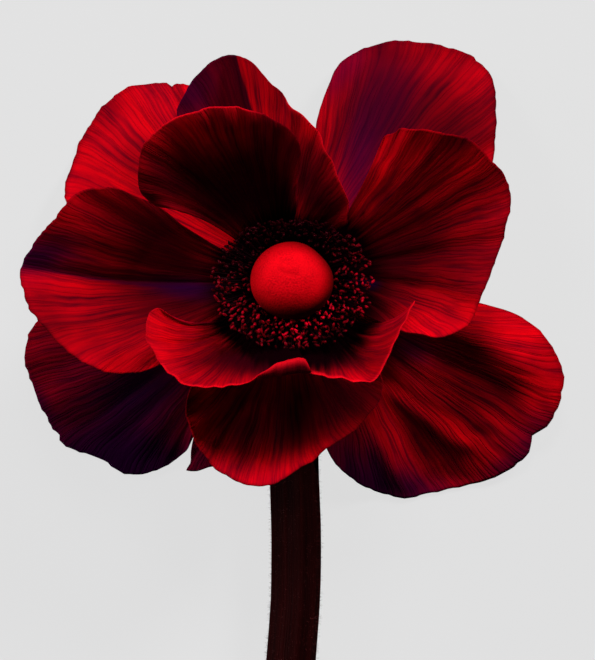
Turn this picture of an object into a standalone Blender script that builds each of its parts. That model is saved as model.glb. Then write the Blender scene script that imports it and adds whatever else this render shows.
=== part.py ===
"""Anemone flower, cut and laid down: a red bloom on a short length of bent stem.

The flower has its own frame while it is built: its axis is Z, +Y points away from the stem,
and z = 0 is where the tepals join the receptacle. Lengths are millimetres in that frame.
At the end everything is moved so that the origin lies under the middle of the whole flower,
on the surface that it rests on.
"""

from math import cos, pi, radians, sin
from random import Random

import bpy
import numpy as np
from mathutils import Matrix, Vector

MM = 0.001

TEPAL_RED = (0.42, 0.004, 0.02)
HEAD_RED = (0.6, 0.008, 0.02)
STAMEN_DARK = (0.03, 0.004, 0.012)
STEM_BROWN = (0.035, 0.008, 0.006)

# The surface that the flower lies on, below the level where the tepals join
REST_DEPTH = 16.5
TEPAL_THICK = 0.65
# Over how much height a tepal eases onto that surface
REST_SOFTNESS = 0.5

RECEPTACLE_RADIUS = 4.3
RECEPTACLE_TOP = 4.7
CLAW_RADIUS = 4.85
CLAW_WIDTH = 5.0
WHORL_HEIGHT = {"outer": -3.3, "middle": 0.7, "inner": 3.4}

STEM_RADIUS = 4.1
STEM_PRESS = 0.18
STEM_RIDGES = 9
STEM_RIDGE_HEIGHT = 0.1
STEM_SIDES = 20
STEM_RINGS = 32
# Over 1 sets the rings closer at the bend than toward the cut end
STEM_RING_CROWDING = 1.35
STEM_LYING = STEM_RADIUS - STEM_PRESS - REST_DEPTH
# The stem's middle line, from inside the receptacle to the cut end
STEM_LINE = [
    (0, 0, RECEPTACLE_TOP), (0, 0, 1), (0, -0.1, -2.6), (0.05, -1.6, -6), (0.1, -5.6, -9.2),
    (0.15, -12, -11.3), (0.2, -20, -12.2), (0.2, -28, STEM_LYING), (0.6, -43, STEM_LYING),
    (0.5, -53, STEM_LYING), (-0.3, -64, STEM_LYING), (-1.7, -80, STEM_LYING), (-3, -104, STEM_LYING),
]
RECEPTACLE_LENGTH = 8.2
NECK_RADIUS = 3.4
NECK_START = 11
FULL_STEM_START = 32

HEAD_RADIUS = 7.15
HEAD_FLATTEN = 0.945
HEAD_MIDDLE = 9.6
HEAD_RISE = 6.2
HEAD_DROP = 3.4
HEAD_FOOT_RADIUS = 2.2
HEAD_SIDES = 32
HEAD_LEVELS = 17
HEAD_LOWEST_TILT = -62
HEAD_HIGHEST_TILT = 88
# Under 1 makes the dome's shoulders fuller than an ellipse
HEAD_FULLNESS = 0.9
HEAD_BUMPS = 0.12
HEAD_BUMPS_ROUND = 12

SEAT_GAP = 0.35
COLLAR_INNER = 2.7
COLLAR_OUTER = 4.3
COLLAR_LOW = RECEPTACLE_TOP + SEAT_GAP
COLLAR_HIGH = COLLAR_LOW + 0.9
COLLAR_SIDES = 30

# Heights and reaches are those of the anthers, nearest and furthest from the flower's axis
STAMENS = {
    "count": 84,
    "turn": 137.508,
    "nearest": 8.05,
    "furthest": 12.5,
    "furthest_up": 11.2,
    "furthest_down": 9.9,
    "crowding": 0.8,
    "low": 7.9,
    "high": 9.7,
    "height_jitter": 0.25,
    "lean_jitter": 0.4,
    "root_inset": 0.6,
    "knee_place": 0.55,
    "knee_sag": 0.45,
    "filament_radius": 0.2,
    "anther_radius": 0.42,
    "anther_length": 1.35,
    "anther_uprightness": 0.35,
    "seed": 11,
}

# Each tepal's edge is given from one side of its base round the tip to the other side, as seen
# from above, with its height. Belly lowers (or arches) the middle of the blade, and bulge pushes
# it outward. A fold is (place along the edge from 0 to 1, depth, width).
TEPALS = {
    "tepal_outer_upper_left": {
        "whorl": "outer", "azimuth": 140, "belly": 6, "columns": 15,
        "edge": [
            (-7, 13, -2.2), (-9, 21, -2.6), (-11.5, 27.5, -5), (-14.5, 31.8, -8.5), (-19.5, 33.2, -12.5),
            (-24.5, 33.2, -15.5), (-29.5, 31.5, -17.8), (-33, 28, -17.8), (-35.5, 23.5, -16.5),
            (-37.3, 18.5, -14), (-38.2, 14.5, -11.5), (-36, 10.5, -8.5), (-29, 8, -5), (-19, 6, -3),
        ],
        "folds": [(0.62, 1.0, 0.06), (0.35, 0.8, 0.06)],
    },
    "tepal_outer_upper_right": {
        "whorl": "outer", "azimuth": 60, "belly": 7, "columns": 15,
        "edge": [
            (16, 5, -3), (25, 9, -4.5), (31.5, 14.5, -6.5), (33.7, 20.5, -9), (34.2, 27, -11),
            (33.9, 33, -13), (31.4, 37.2, -15), (26, 39.4, -16.8), (19.5, 40.4, -17.8), (13, 39.5, -16.8),
            (8.3, 36.8, -13.5), (5.6, 31.5, -9.5), (3.9, 25.5, -5.5), (3.4, 17, -3),
        ],
        "folds": [(0.47, 2.4, 0.1), (0.62, 1.0, 0.06)],
    },
    "tepal_outer_lower_right": {
        "whorl": "outer", "azimuth": -33, "belly": 5, "columns": 21,
        "edge": [
            (6.3, -13, -3.4), (5.6, -21, -5), (6, -28.5, -8.5), (9, -32.3, -12), (14, -35.2, -15.5),
            (19.5, -36.3, -17.5), (26, -35.2, -17.5), (32.5, -33.3, -16), (38, -30.8, -14.5),
            (41.5, -25.5, -12.5), (44.8, -21, -11), (45.4, -16, -9.5), (42.9, -10.2, -7.5),
            (38, -5.8, -5.5), (31, -3.6, -3.8), (21, -2.4, -2.6), (13, -1.8, -2.6),
        ],
        "folds": [
            (0.2, 1.2, 0.05), (0.3, 2.0, 0.05), (0.45, 1.3, 0.05), (0.55, 2.2, 0.05), (0.7, 1.4, 0.05),
        ],
    },
    "tepal_outer_lower_left": {
        "whorl": "outer", "azimuth": 217, "belly": 6, "columns": 15,
        "edge": [
            (-14, -2.6, -3.2), (-24, -3, -4), (-34, -3.8, -5.5), (-41, -5.2, -7.5), (-44.3, -9.5, -10),
            (-44.6, -14, -12), (-42.8, -19.5, -14), (-40.4, -24.3, -16), (-39.2, -27, -17.2),
            (-36.6, -28.2, -17.6), (-32, -30, -17.8), (-27, -32.6, -17.8), (-22, -31.3, -16.5),
            (-18.3, -28.9, -14), (-16.2, -25.2, -10), (-12.5, -19.5, -7), (-8.5, -13, -4.8),
        ],
        "folds": [(0.55, 1.5, 0.08), (0.75, 1.2, 0.07)],
    },
    "tepal_outer_bottom": {
        "whorl": "outer", "azimuth": 253, "belly": 0.5, "columns": 13, "lift": 1.9, "claw": 3.2,
        "edge": [
            (-8.5, -12, -1.5), (-13.2, -19.5, -2.5), (-16.5, -26, -4), (-17.6, -31.3, -4.5),
            (-13, -30.8, -4), (-7, -31.8, -3), (-1, -31.5, -3), (3, -29, -3), (4, -23, -3),
            (3.2, -14, -2),
        ],
        "folds": [(0.5, 0.5, 0.08)],
    },
    "tepal_middle_top": {
        "whorl": "middle", "azimuth": 104, "belly": -3, "columns": 15,
        "edge": [
            (9.3, 9.5, 9), (9.1, 13.5, 12.5), (6.4, 20, 15), (3.7, 25.2, 15.5), (0, 29, 14.5),
            (-4, 33.2, 12.5), (-9, 37.6, 8.5), (-13.5, 36.3, 6), (-16.6, 33.2, 5), (-19, 28.5, 4.8),
            (-18, 22.5, 4.8), (-12.5, 15, 4),
        ],
        "folds": [(0.6, 3.2, 0.12)],
    },
    "tepal_middle_left": {
        "whorl": "middle", "azimuth": 182, "belly": -1, "columns": 15,
        "edge": [
            (-11, 5, 3), (-17, 9, 6), (-24, 13.6, 8.5), (-30.5, 15.5, 9.5), (-35.6, 14.5, 9),
            (-39.5, 10.4, 8), (-43.2, 5.8, 6.5), (-45.2, 1.6, 5.5), (-44.2, -3, 6), (-41, -8.2, 7),
            (-36.5, -12.3, 8), (-31, -15.5, 8.5), (-25, -15.8, 8), (-19, -13, 4.8), (-12, -8, 2.2),
        ],
        "folds": [(0.47, 4.5, 0.16)],
    },
    "tepal_middle_right": {
        "whorl": "middle", "azimuth": 22, "belly": -7, "columns": 16,
        "edge": [
            (9, -3.6, 2.4), (15, -7, 4.8), (20, -8.7, 7), (25, -9.3, 9), (29, -7.4, 9.5), (31.7, -2.3, 10),
            (33.9, 4.3, 10.5), (36.1, 11, 11), (35.7, 16.3, 12), (33.2, 19.9, 13.5), (28.9, 23.4, 15.5),
            (24, 25, 16.5), (18.5, 25.2, 17), (15.2, 23.8, 16.5), (13.6, 18, 13), (12, 11.5, 9),
        ],
        "folds": [(0.42, 1.3, 0.07), (0.3, 1.0, 0.06)],
    },
    "tepal_middle_bottom": {
        "whorl": "middle", "azimuth": -97, "belly": -9.5, "columns": 15,
        "edge": [
            (-9, -8, 3.2), (-14.5, -14, 6.5), (-17.5, -20.5, 9), (-16.4, -26, 10.5), (-12.7, -31, 11),
            (-8.5, -33.5, 11), (-4.2, -34, 10.5), (0, -32, 10.5), (4.5, -28.8, 10.5), (10, -25, 10.5),
            (13.8, -21, 10), (15, -17, 8.5), (12, -11, 5), (8, -7, 3.2),
        ],
        "folds": [(0.35, 0.7, 0.06), (0.65, 0.7, 0.06)],
    },
    "tepal_inner_top": {
        "whorl": "inner", "azimuth": 119, "belly": -11, "bulge": 1.5, "columns": 15, "lift": 0.3,
        "edge": [
            (0.9, 12.3, 11.2), (0.8, 16.5, 15.5), (1.4, 21.2, 19.5), (-1, 25.1, 22.5), (-6, 27.4, 25),
            (-12, 28.5, 26.5), (-17.8, 27.5, 26), (-21.6, 24.4, 24), (-24, 20.5, 21.5), (-24.7, 16.8, 18.5),
            (-22.2, 13.1, 15.5), (-17, 11.2, 12), (-11.5, 7.6, 7.8),
        ],
        "folds": [(0.75, 0.7, 0.07), (0.3, 0.6, 0.07)],
    },
    "tepal_inner_lower_left": {
        "whorl": "inner", "azimuth": 232, "belly": -10.5, "bulge": 2.6, "columns": 15, "lift": 0.9,
        "edge": [
            (-9.5, -8.2, 7.2), (-15.5, -8, 11), (-20, -5.9, 15), (-23.1, -4.9, 17), (-24, -8, 18),
            (-22.8, -12.5, 19), (-19.3, -16.2, 20), (-15, -17.7, 20.5), (-10, -17.4, 21), (-5.5, -15.7, 21),
            (-2, -13.7, 20.5), (1, -12.8, 20), (3, -13.5, 18.2), (3, -12.8, 15.2), (1.7, -10.5, 9.3),
        ],
        "folds": [(0.25, 0.7, 0.07)],
    },
    "tepal_inner_lower_right": {
        "whorl": "inner", "azimuth": 308, "belly": -11, "bulge": 2.6, "columns": 15, "lift": 0,
        "edge": [
            (-2.4, -11, 5), (-4.4, -15.4, 11.5), (-1.5, -16.2, 17.5), (3, -15.5, 20), (8, -16.2, 21),
            (12.7, -16.6, 21), (14.9, -14.6, 20.5), (17, -9.8, 20), (18.9, -5.6, 19.5), (20.2, -3.1, 18.5),
            (17, -5.7, 15), (13.6, -7.6, 11), (9, -6.6, 7),
        ],
        "folds": [(0.5, 0.6, 0.06)],
    },
}
TEPAL_ROWS = 10
# Folds grow from the base to their full depth this far along a vein
FOLD_START = 0.55
# How far veins leave the base bunched together before they fan out
VEIN_BUNCHING = 0.24
# How much less the belly is at the sides of a blade than in its middle
BELLY_SIDE_LOSS = 0.45


def clear_scene():
    for thing in list(bpy.data.objects):
        bpy.data.objects.remove(thing)


def make_material(name, color, roughness):
    material = bpy.data.materials.new(name)
    material.use_nodes = True
    shader = material.node_tree.nodes["Principled BSDF"]
    shader.inputs["Base Color"].default_value = (*color, 1)
    shader.inputs["Roughness"].default_value = roughness
    shader.inputs["Metallic"].default_value = 0
    return material


def add_object(name, points, faces, material):
    """A mesh object from points in millimetres."""
    mesh = bpy.data.meshes.new(name)
    mesh.from_pydata([tuple(MM * value for value in point) for point in points], [], faces)
    mesh.materials.append(material)
    mesh.shade_smooth()
    thing = bpy.data.objects.new(name, mesh)
    bpy.context.scene.collection.objects.link(thing)
    return thing


def curve_through(points, places):
    """Smooth curve through the points, read at places from 0 to 1 along it."""
    points = np.array(points, float)
    lengths = np.linalg.norm(np.diff(points, axis=0), axis=1)
    knots = np.concatenate([[0], np.cumsum(lengths)]) / lengths.sum()
    slopes = np.gradient(points, knots, axis=0)
    i = np.clip(np.searchsorted(knots, places, side="right") - 1, 0, len(points) - 2)
    step = (knots[i + 1] - knots[i])[:, None]
    u = (places - knots[i])[:, None] / step
    return (
        (2 * u**3 - 3 * u**2 + 1) * points[i]
        + (u**3 - 2 * u**2 + u) * step * slopes[i]
        + (3 * u**2 - 2 * u**3) * points[i + 1]
        + (u**3 - u**2) * step * slopes[i + 1]
    )


def surface_normals(grid):
    normals = np.cross(np.gradient(grid, axis=1), np.gradient(grid, axis=0))
    normals /= np.linalg.norm(normals, axis=2, keepdims=True)
    return normals * np.sign(normals[:, :, 2].mean())


def above_surface(heights):
    """Heights eased up where they would sink below the surface that the flower lies on."""
    floor = TEPAL_THICK / 2 - REST_DEPTH
    return floor + REST_SOFTNESS * np.logaddexp(0, (heights - floor) / REST_SOFTNESS)


def tepal_surface(tepal):
    """Middle surface of a tepal: veins fan out from its claw on the receptacle to its edge."""
    places = np.linspace(0, 1, tepal["columns"])
    edge = curve_through(tepal["edge"], places)
    azimuth = radians(tepal["azimuth"])
    outward = np.array([cos(azimuth), sin(azimuth), 0])
    sideways = np.array([-sin(azimuth), cos(azimuth), 0])
    turned_back = np.dot(edge[0] - edge[-1], sideways) > 0
    side = (places - 0.5) * tepal.get("claw", CLAW_WIDTH) * (-1 if turned_back else 1)
    height = WHORL_HEIGHT[tepal["whorl"]] + tepal.get("lift", 0)
    claw = outward * np.sqrt(CLAW_RADIUS**2 - side**2)[:, None] + sideways * side[:, None]
    claw[:, 2] = height

    # Each vein is a quadratic curve from the claw to the edge
    bend = (claw + edge) / 2
    middle = bend[len(places) // 2].copy()
    bunching = VEIN_BUNCHING * (1 - np.abs(2 * places - 1) ** 3)
    bend[:, :2] += bunching[:, None] * (middle[:2] - bend[:, :2])
    bend[:, 2] += tepal["belly"] * (1 - BELLY_SIDE_LOSS * (2 * places - 1) ** 2)
    bend += outward * tepal.get("bulge", 0)
    along = np.linspace(0, 1, TEPAL_ROWS)[None, :, None]
    grid = (
        (1 - along) ** 2 * claw[:, None]
        + 2 * along * (1 - along) * bend[:, None]
        + along**2 * edge[:, None]
    )

    depth = np.zeros(len(places))
    for place, deepest, width in tepal["folds"]:
        depth += deepest * np.exp(-np.abs(places - place) / width)
    depth *= np.clip(6 * places * (1 - places), 0, 1)
    grown = np.clip(along / FOLD_START, 0, 1) ** 1.5
    way = surface_normals(grid) if tepal["whorl"] == "inner" else np.array([0, 0, 1])
    grid = grid - way * depth[:, None, None] * grown
    if tepal["whorl"] == "outer":
        grid[:, :, 2] = above_surface(grid[:, :, 2])
    return grid


def make_tepal(name, tepal, material):
    """The sheet is split into triangles before it gets its thickness, so both faces are split alike."""
    grid = tepal_surface(tepal)
    columns, rows = grid.shape[:2]
    index = np.arange(columns * rows).reshape(columns, rows)
    faces = []
    for i in range(columns - 1):
        for j in range(rows - 1):
            a, b, c, d = (int(index[k]) for k in ((i, j), (i + 1, j), (i + 1, j + 1), (i, j + 1)))
            faces += [(a, b, c), (a, c, d)]
    thing = add_object(name, grid.reshape(-1, 3), faces, material)
    solidify = thing.modifiers.new("thickness", "SOLIDIFY")
    solidify.thickness = TEPAL_THICK * MM
    solidify.offset = 0
    return thing


def loft(rings, close_start=True, close_end=True):
    """Points and faces of a skin over rings of equal count. A ring of one point is a tip."""
    points, faces, starts = [], [], []
    for ring in rings:
        starts.append(len(points))
        points.extend(ring)
    for low, high, first, second in zip(rings, rings[1:], starts, starts[1:]):
        sides = max(len(low), len(high))
        for k in range(sides):
            n = (k + 1) % sides
            if len(high) == 1:
                faces.append((first + k, first + n, second))
            elif len(low) == 1:
                faces.append((first, second + n, second + k))
            else:
                faces.append((first + k, first + n, second + n, second + k))
    if close_start and len(rings[0]) > 1:
        faces.append(tuple(reversed(range(len(rings[0])))))
    if close_end and len(rings[-1]) > 1:
        faces.append(tuple(starts[-1] + k for k in range(len(rings[-1]))))
    return points, faces


def ring_round(middle, direction, radii, sideways=(1, 0, 0)):
    """Ring of points round a middle point, square to a direction, one point for each radius."""
    forward = Vector(direction).normalized()
    second = forward.cross(Vector(sideways)).normalized()
    first = second.cross(forward)
    ring = []
    for k, radius in enumerate(radii):
        angle = 2 * pi * (k + 0.5) / len(radii)
        ring.append(Vector(middle) + float(radius) * (cos(angle) * first + sin(angle) * second))
    return ring


def stem_radius(distance):
    """Receptacle, a slightly thinner neck under it, and the full stem further on."""
    stations = (RECEPTACLE_LENGTH, NECK_START, FULL_STEM_START)
    return np.interp(distance, stations, (RECEPTACLE_RADIUS, NECK_RADIUS, STEM_RADIUS))


def make_stem(material):
    """Stem with the receptacle as its upper end. Its underside is pressed flat where it rests."""
    places = np.linspace(0, 1, STEM_RINGS) ** STEM_RING_CROWDING
    line = curve_through(STEM_LINE, places)
    directions = np.gradient(line, places, axis=0)
    distances = np.concatenate([[0], np.cumsum(np.linalg.norm(np.diff(line, axis=0), axis=1))])
    rings = []
    for middle, direction, distance in zip(line, directions, distances):
        ridges = STEM_RIDGE_HEIGHT if distance > NECK_START else 0
        radii = [
            stem_radius(distance) + ridges * cos(STEM_RIDGES * 2 * pi * (k + 0.5) / STEM_SIDES)
            for k in range(STEM_SIDES)
        ]
        ring = ring_round(middle, direction, radii)
        for point in ring:
            point.z = max(point.z, -REST_DEPTH)
        rings.append(ring)
    return add_object("stem", *loft(rings), material)


def make_carpel_head(material):
    """Domed head of carpels on a short foot, its surface raised in fine rows of bumps."""
    rings = [
        ring_round((0, 0, height), (0, 0, 1), [HEAD_FOOT_RADIUS] * HEAD_SIDES)
        for height in (RECEPTACLE_TOP + SEAT_GAP, COLLAR_HIGH + SEAT_GAP)
    ]
    for level, tilt in enumerate(np.linspace(HEAD_LOWEST_TILT, HEAD_HIGHEST_TILT, HEAD_LEVELS)):
        tilt = radians(tilt)
        high = HEAD_RISE if tilt > 0 else HEAD_DROP
        radii = []
        for k in range(HEAD_SIDES):
            bump = HEAD_BUMPS * cos(HEAD_BUMPS_ROUND * 2 * pi * k / HEAD_SIDES + pi * level)
            radii.append((HEAD_RADIUS + bump) * cos(tilt) ** HEAD_FULLNESS)
        rings.append(ring_round((0, 0, HEAD_MIDDLE + high * sin(tilt)), (0, 0, 1), radii))
    for ring in rings:
        for point in ring:
            point.y *= HEAD_FLATTEN
    return add_object("carpel_head", *loft(rings), material)


def make_collar(material):
    """Ring on the receptacle that the stamens stand on."""
    profile = [
        (COLLAR_INNER, COLLAR_LOW), (COLLAR_OUTER, COLLAR_LOW),
        (COLLAR_OUTER, COLLAR_HIGH), (COLLAR_INNER, COLLAR_HIGH),
    ]
    points = []
    for k in range(COLLAR_SIDES):
        angle = 2 * pi * k / COLLAR_SIDES
        points += [(radius * cos(angle), radius * sin(angle), height) for radius, height in profile]
    faces = []
    for k in range(COLLAR_SIDES):
        here, there = 4 * k, 4 * ((k + 1) % COLLAR_SIDES)
        for m in range(4):
            n = (m + 1) % 4
            faces.append((here + m, there + m, there + n, here + n))
    return add_object("stamens", points, faces, material)


def stamen_rings(angle, reach, height, lean):
    """A four-sided filament that curves up to an oval anther."""
    outward = Vector((cos(angle), sin(angle), 0))
    root = outward * (COLLAR_OUTER - STAMENS["root_inset"]) + Vector((0, 0, (COLLAR_LOW + COLLAR_HIGH) / 2))
    tip = outward * reach + Vector((0, 0, height))
    knee = root.lerp(tip, STAMENS["knee_place"]) - Vector((0, 0, STAMENS["knee_sag"]))
    upward = Vector((lean, -lean, 0.8))
    up = (tip - knee).normalized().lerp(upward, STAMENS["anther_uprightness"]).normalized()
    thin, fat, length = STAMENS["filament_radius"], STAMENS["anther_radius"], STAMENS["anther_length"]
    stations = [
        (root, thin * 1.2), (knee, thin), (tip - 0.5 * length * up, thin * 0.9),
        (tip - 0.2 * length * up, fat), (tip + 0.2 * length * up, fat * 0.9),
    ]
    rings = []
    for k, (middle, radius) in enumerate(stations):
        onward = stations[k + 1][0] - middle if k < 2 else up
        rings.append(ring_round(middle, onward, [radius] * 4, outward.cross(Vector((0, 0, 1)))))
    rings.append([tip + 0.5 * length * up])
    return rings


def make_stamens(material):
    """Stamens set round the head by the golden angle, fused to their collar."""
    stamens = make_collar(material)
    chance = Random(STAMENS["seed"])
    pieces = bpy.data.collections.new("stamen pieces")
    bpy.context.scene.collection.children.link(pieces)
    for k in range(STAMENS["count"]):
        share = (k + 0.5) / STAMENS["count"]
        angle = radians(k * STAMENS["turn"])
        end = STAMENS["furthest_up"] if sin(angle) > 0 else STAMENS["furthest_down"]
        furthest = STAMENS["furthest"] + (end - STAMENS["furthest"]) * sin(angle) ** 2
        reach = STAMENS["nearest"] + (furthest - STAMENS["nearest"]) * share ** STAMENS["crowding"]
        height = STAMENS["low"] + (STAMENS["high"] - STAMENS["low"]) * share
        height += STAMENS["height_jitter"] * chance.uniform(-1, 1)
        lean = STAMENS["lean_jitter"] * chance.uniform(-1, 1)
        points, faces = loft(stamen_rings(angle, reach, height, lean))
        piece = add_object(f"stamen piece {k}", points, faces, material)
        bpy.context.scene.collection.objects.unlink(piece)
        pieces.objects.link(piece)
    union = stamens.modifiers.new("union", "BOOLEAN")
    union.operation = "UNION"
    union.operand_type = "COLLECTION"
    union.collection = pieces
    union.solver = "MANIFOLD"
    bpy.context.view_layer.objects.active = stamens
    bpy.ops.object.modifier_apply(modifier=union.name)
    for piece in list(pieces.objects):
        bpy.data.objects.remove(piece)
    bpy.data.collections.remove(pieces)
    return stamens


def seat_at_origin(things):
    """Moves every mesh so that the origin is under the middle of the flower, on the resting surface."""
    bpy.context.view_layer.update()
    graph = bpy.context.evaluated_depsgraph_get()
    points = []
    for thing in things:
        mesh = thing.evaluated_get(graph).to_mesh()
        values = np.empty(len(mesh.vertices) * 3)
        mesh.vertices.foreach_get("co", values)
        points.append(values.reshape(-1, 3))
    points = np.concatenate(points)
    low, high = points.min(axis=0), points.max(axis=0)
    shift = Vector((-(low[0] + high[0]) / 2, -(low[1] + high[1]) / 2, -low[2]))
    for thing in things:
        thing.data.transform(Matrix.Translation(shift))


def main():
    clear_scene()
    red = make_material("tepal red", TEPAL_RED, 0.55)
    things = [make_tepal(name, tepal, red) for name, tepal in TEPALS.items()]
    things += [
        make_stem(make_material("stem brown", STEM_BROWN, 0.6)),
        make_carpel_head(make_material("carpel head red", HEAD_RED, 0.7)),
        make_stamens(make_material("stamen dark", STAMEN_DARK, 0.6)),
    ]
    seat_at_origin(things)


main()
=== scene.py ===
from math import cos, pi, radians, sin, sqrt
from random import Random

import bpy
import numpy as np
from mathutils import Matrix, Vector


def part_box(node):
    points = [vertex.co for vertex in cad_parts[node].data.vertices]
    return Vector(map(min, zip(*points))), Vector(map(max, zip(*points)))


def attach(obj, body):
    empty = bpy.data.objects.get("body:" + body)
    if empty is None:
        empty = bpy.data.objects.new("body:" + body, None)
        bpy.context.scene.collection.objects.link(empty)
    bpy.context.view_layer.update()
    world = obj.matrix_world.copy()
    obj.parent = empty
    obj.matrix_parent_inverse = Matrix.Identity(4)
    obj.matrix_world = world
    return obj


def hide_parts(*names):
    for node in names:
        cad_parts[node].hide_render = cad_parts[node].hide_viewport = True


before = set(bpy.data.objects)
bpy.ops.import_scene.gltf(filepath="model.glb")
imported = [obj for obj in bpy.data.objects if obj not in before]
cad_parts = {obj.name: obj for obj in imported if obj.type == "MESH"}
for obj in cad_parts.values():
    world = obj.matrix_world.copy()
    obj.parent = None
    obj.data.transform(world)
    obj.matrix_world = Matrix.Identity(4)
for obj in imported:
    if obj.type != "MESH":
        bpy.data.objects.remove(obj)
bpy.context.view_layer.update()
bpy.ops.object.select_all(action="DESELECT")
print("frame loaded:", len(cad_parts), "nodes")

millimetre = 0.001
restDepth = 16.5  # from the tepals' joint down to the table
goldenAngle = radians(137.508)
headLow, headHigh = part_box("carpel_head")
jointPoint = np.array([
    (headLow.x + headHigh.x) / 2,
    (headLow.y + headHigh.y) / 2,
    restDepth * millimetre,
])


def inFrame(points):
    # flower millimetres to metres in the frame
    return np.asarray(points, float) * millimetre + jointPoint


def smoothStep(values, low, high):
    share = np.clip((np.asarray(values, float) - low) / (high - low), 0, 1)
    return share * share * (3 - 2 * share)


def curveThrough(points, places):
    # smooth curve through the points, read at places from 0 to 1 along it
    points = np.array(points, float)
    lengths = np.linalg.norm(np.diff(points, axis=0), axis=1)
    knots = np.concatenate([[0], np.cumsum(lengths)]) / lengths.sum()
    slopes = np.gradient(points, knots, axis=0)
    i = np.clip(np.searchsorted(knots, places, side="right") - 1, 0, len(points) - 2)
    step = (knots[i + 1] - knots[i])[:, None]
    u = (places - knots[i])[:, None] / step
    return (
        (2 * u**3 - 3 * u**2 + 1) * points[i]
        + (u**3 - 2 * u**2 + u) * step * slopes[i]
        + (3 * u**2 - 2 * u**3) * points[i + 1]
        + (u**3 - u**2) * step * slopes[i + 1]
    )


def ripples(across, along, chance, rates, drift):
    # a few seeded waves whose crests run along the veins
    total = np.zeros(np.broadcast(across, along).shape)
    for rate in rates:
        turns = rate * chance.uniform(0.85, 1.15) * across + chance.uniform(-drift, drift) * along
        total += chance.uniform(0.6, 1) * np.cos(2 * pi * turns + chance.uniform(0, 2 * pi))
    return total / sqrt(len(rates))


def meshPoints(piece):
    values = np.empty(len(piece.data.vertices) * 3)
    piece.data.vertices.foreach_get("co", values)
    return values.reshape(-1, 3)


def setMeshPoints(piece, points):
    piece.data.vertices.foreach_set("co", np.asarray(points, float).ravel())
    piece.data.update()


def renamed(name):
    piece = bpy.context.object
    piece.name = name
    piece.data.name = name
    return piece


def addSheet(name, columns, rows):
    # a grid, with the column and row of each of its points
    bpy.ops.mesh.primitive_grid_add(
        x_subdivisions=columns - 1, y_subdivisions=rows - 1, size=2, calc_uvs=True,
    )
    piece = renamed(name)
    flat = (meshPoints(piece)[:, :2] + 1) / 2
    column, row = np.rint(flat * (columns - 1, rows - 1)).astype(int).T
    return piece, column, row


def applyModifier(piece, modifier):
    bpy.context.view_layer.objects.active = piece
    bpy.ops.object.modifier_apply(modifier=modifier.name)


def flipFaces(piece):
    bpy.context.view_layer.objects.active = piece
    bpy.ops.object.mode_set(mode="EDIT")
    bpy.ops.mesh.select_all(action="SELECT")
    bpy.ops.mesh.flip_normals()
    bpy.ops.object.mode_set(mode="OBJECT")


def addPointValue(piece, name, values):
    attribute = piece.data.attributes.new(name, "FLOAT", "POINT")
    attribute.data.foreach_set("value", np.asarray(values, np.float32).ravel())


def finishPiece(piece, body, slot, *nodes):
    piece.data.shade_smooth()
    piece.select_set(False)
    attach(piece, body)
    if nodes:
        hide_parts(*nodes)


def scattered(model, places, name):
    # one mesh with a copy of the model's mesh at each place, and the model is then removed
    points = meshPoints(model)
    faces = [tuple(face.vertices) for face in model.data.polygons]
    allPoints = []
    allFaces = []
    for k, place in enumerate(places):
        turned = points @ np.array(place.to_3x3()).T + np.array(place.translation)
        allPoints.append(turned)
        allFaces += [tuple(k * len(points) + corner for corner in face) for face in faces]
    mesh = bpy.data.meshes.new(name)
    mesh.from_pydata(np.concatenate(allPoints).tolist(), [], allFaces)
    bpy.data.objects.remove(model)
    piece = bpy.data.objects.new(name, mesh)
    bpy.context.scene.collection.objects.link(piece)
    return piece


def pointing(where, direction, size, turn=0.0):
    # places a model that stands along +z so that it points along a direction
    aim = Vector(direction).to_track_quat("Z", "Y").to_matrix().to_4x4()
    scale = Matrix.Diagonal((*size, 1))
    return Matrix.Translation(where) @ aim @ Matrix.Rotation(turn, 4, "Z") @ scale


# Shader nodes


def setSocket(tree, socket, value):
    # a socket takes another node's output, a number or a colour
    if isinstance(value, bpy.types.NodeSocket):
        tree.links.new(value, socket)
    elif socket.type == "RGBA":
        socket.default_value = (*value, 1)
    else:
        socket.default_value = value


def addNode(tree, kind, place, **values):
    # values named in lower case are the node's settings, the others are its sockets
    node = tree.nodes.new(kind)
    node.location = (place[0] * 200, place[1] * 160)
    for name, value in values.items():
        if name[0].islower():
            setattr(node, name, value)
        else:
            setSocket(tree, node.inputs[name.replace("_", " ")], value)
    return node


def mathNode(tree, operation, place, first, second=None, clamp=False):
    node = addNode(tree, "ShaderNodeMath", place, operation=operation, use_clamp=clamp)
    for socket, value in zip(node.inputs, (first, second)):
        if value is not None:
            setSocket(tree, socket, value)
    return node.outputs[0]


def mixColors(tree, place, share, first, second):
    node = addNode(tree, "ShaderNodeMix", place, data_type="RGBA")
    for socket, value in ((node.inputs[0], share), (node.inputs[6], first), (node.inputs[7], second)):
        setSocket(tree, socket, value)
    return node.outputs[2]


def mixShaders(tree, place, share, first, second):
    node = addNode(tree, "ShaderNodeMixShader", place)
    for socket, value in zip(node.inputs, (share, first, second)):
        setSocket(tree, socket, value)
    return node.outputs[0]


def spread(tree, place, value, low, high, first=0.0, last=1.0):
    # eases from the first value at low to the last at high
    node = addNode(
        tree, "ShaderNodeMapRange", place, interpolation_type="SMOOTHSTEP", Value=value,
        From_Min=low, From_Max=high, To_Min=first, To_Max=last,
    )
    return node.outputs["Result"]


def objectNoise(tree, place, scale, detail):
    where = addNode(tree, "ShaderNodeTexCoord", (place[0] - 1, place[1]))
    noise = addNode(
        tree, "ShaderNodeTexNoise", place, Vector=where.outputs["Object"], Scale=scale, Detail=detail,
    )
    return noise.outputs[0]


def pointValue(tree, place, name):
    return addNode(tree, "ShaderNodeAttribute", place, attribute_name=name).outputs["Fac"]


def bumpFrom(tree, place, height, depth):
    bump = addNode(tree, "ShaderNodeBump", place, Height=height, Distance=depth * millimetre)
    return bump.outputs["Normal"]


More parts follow.
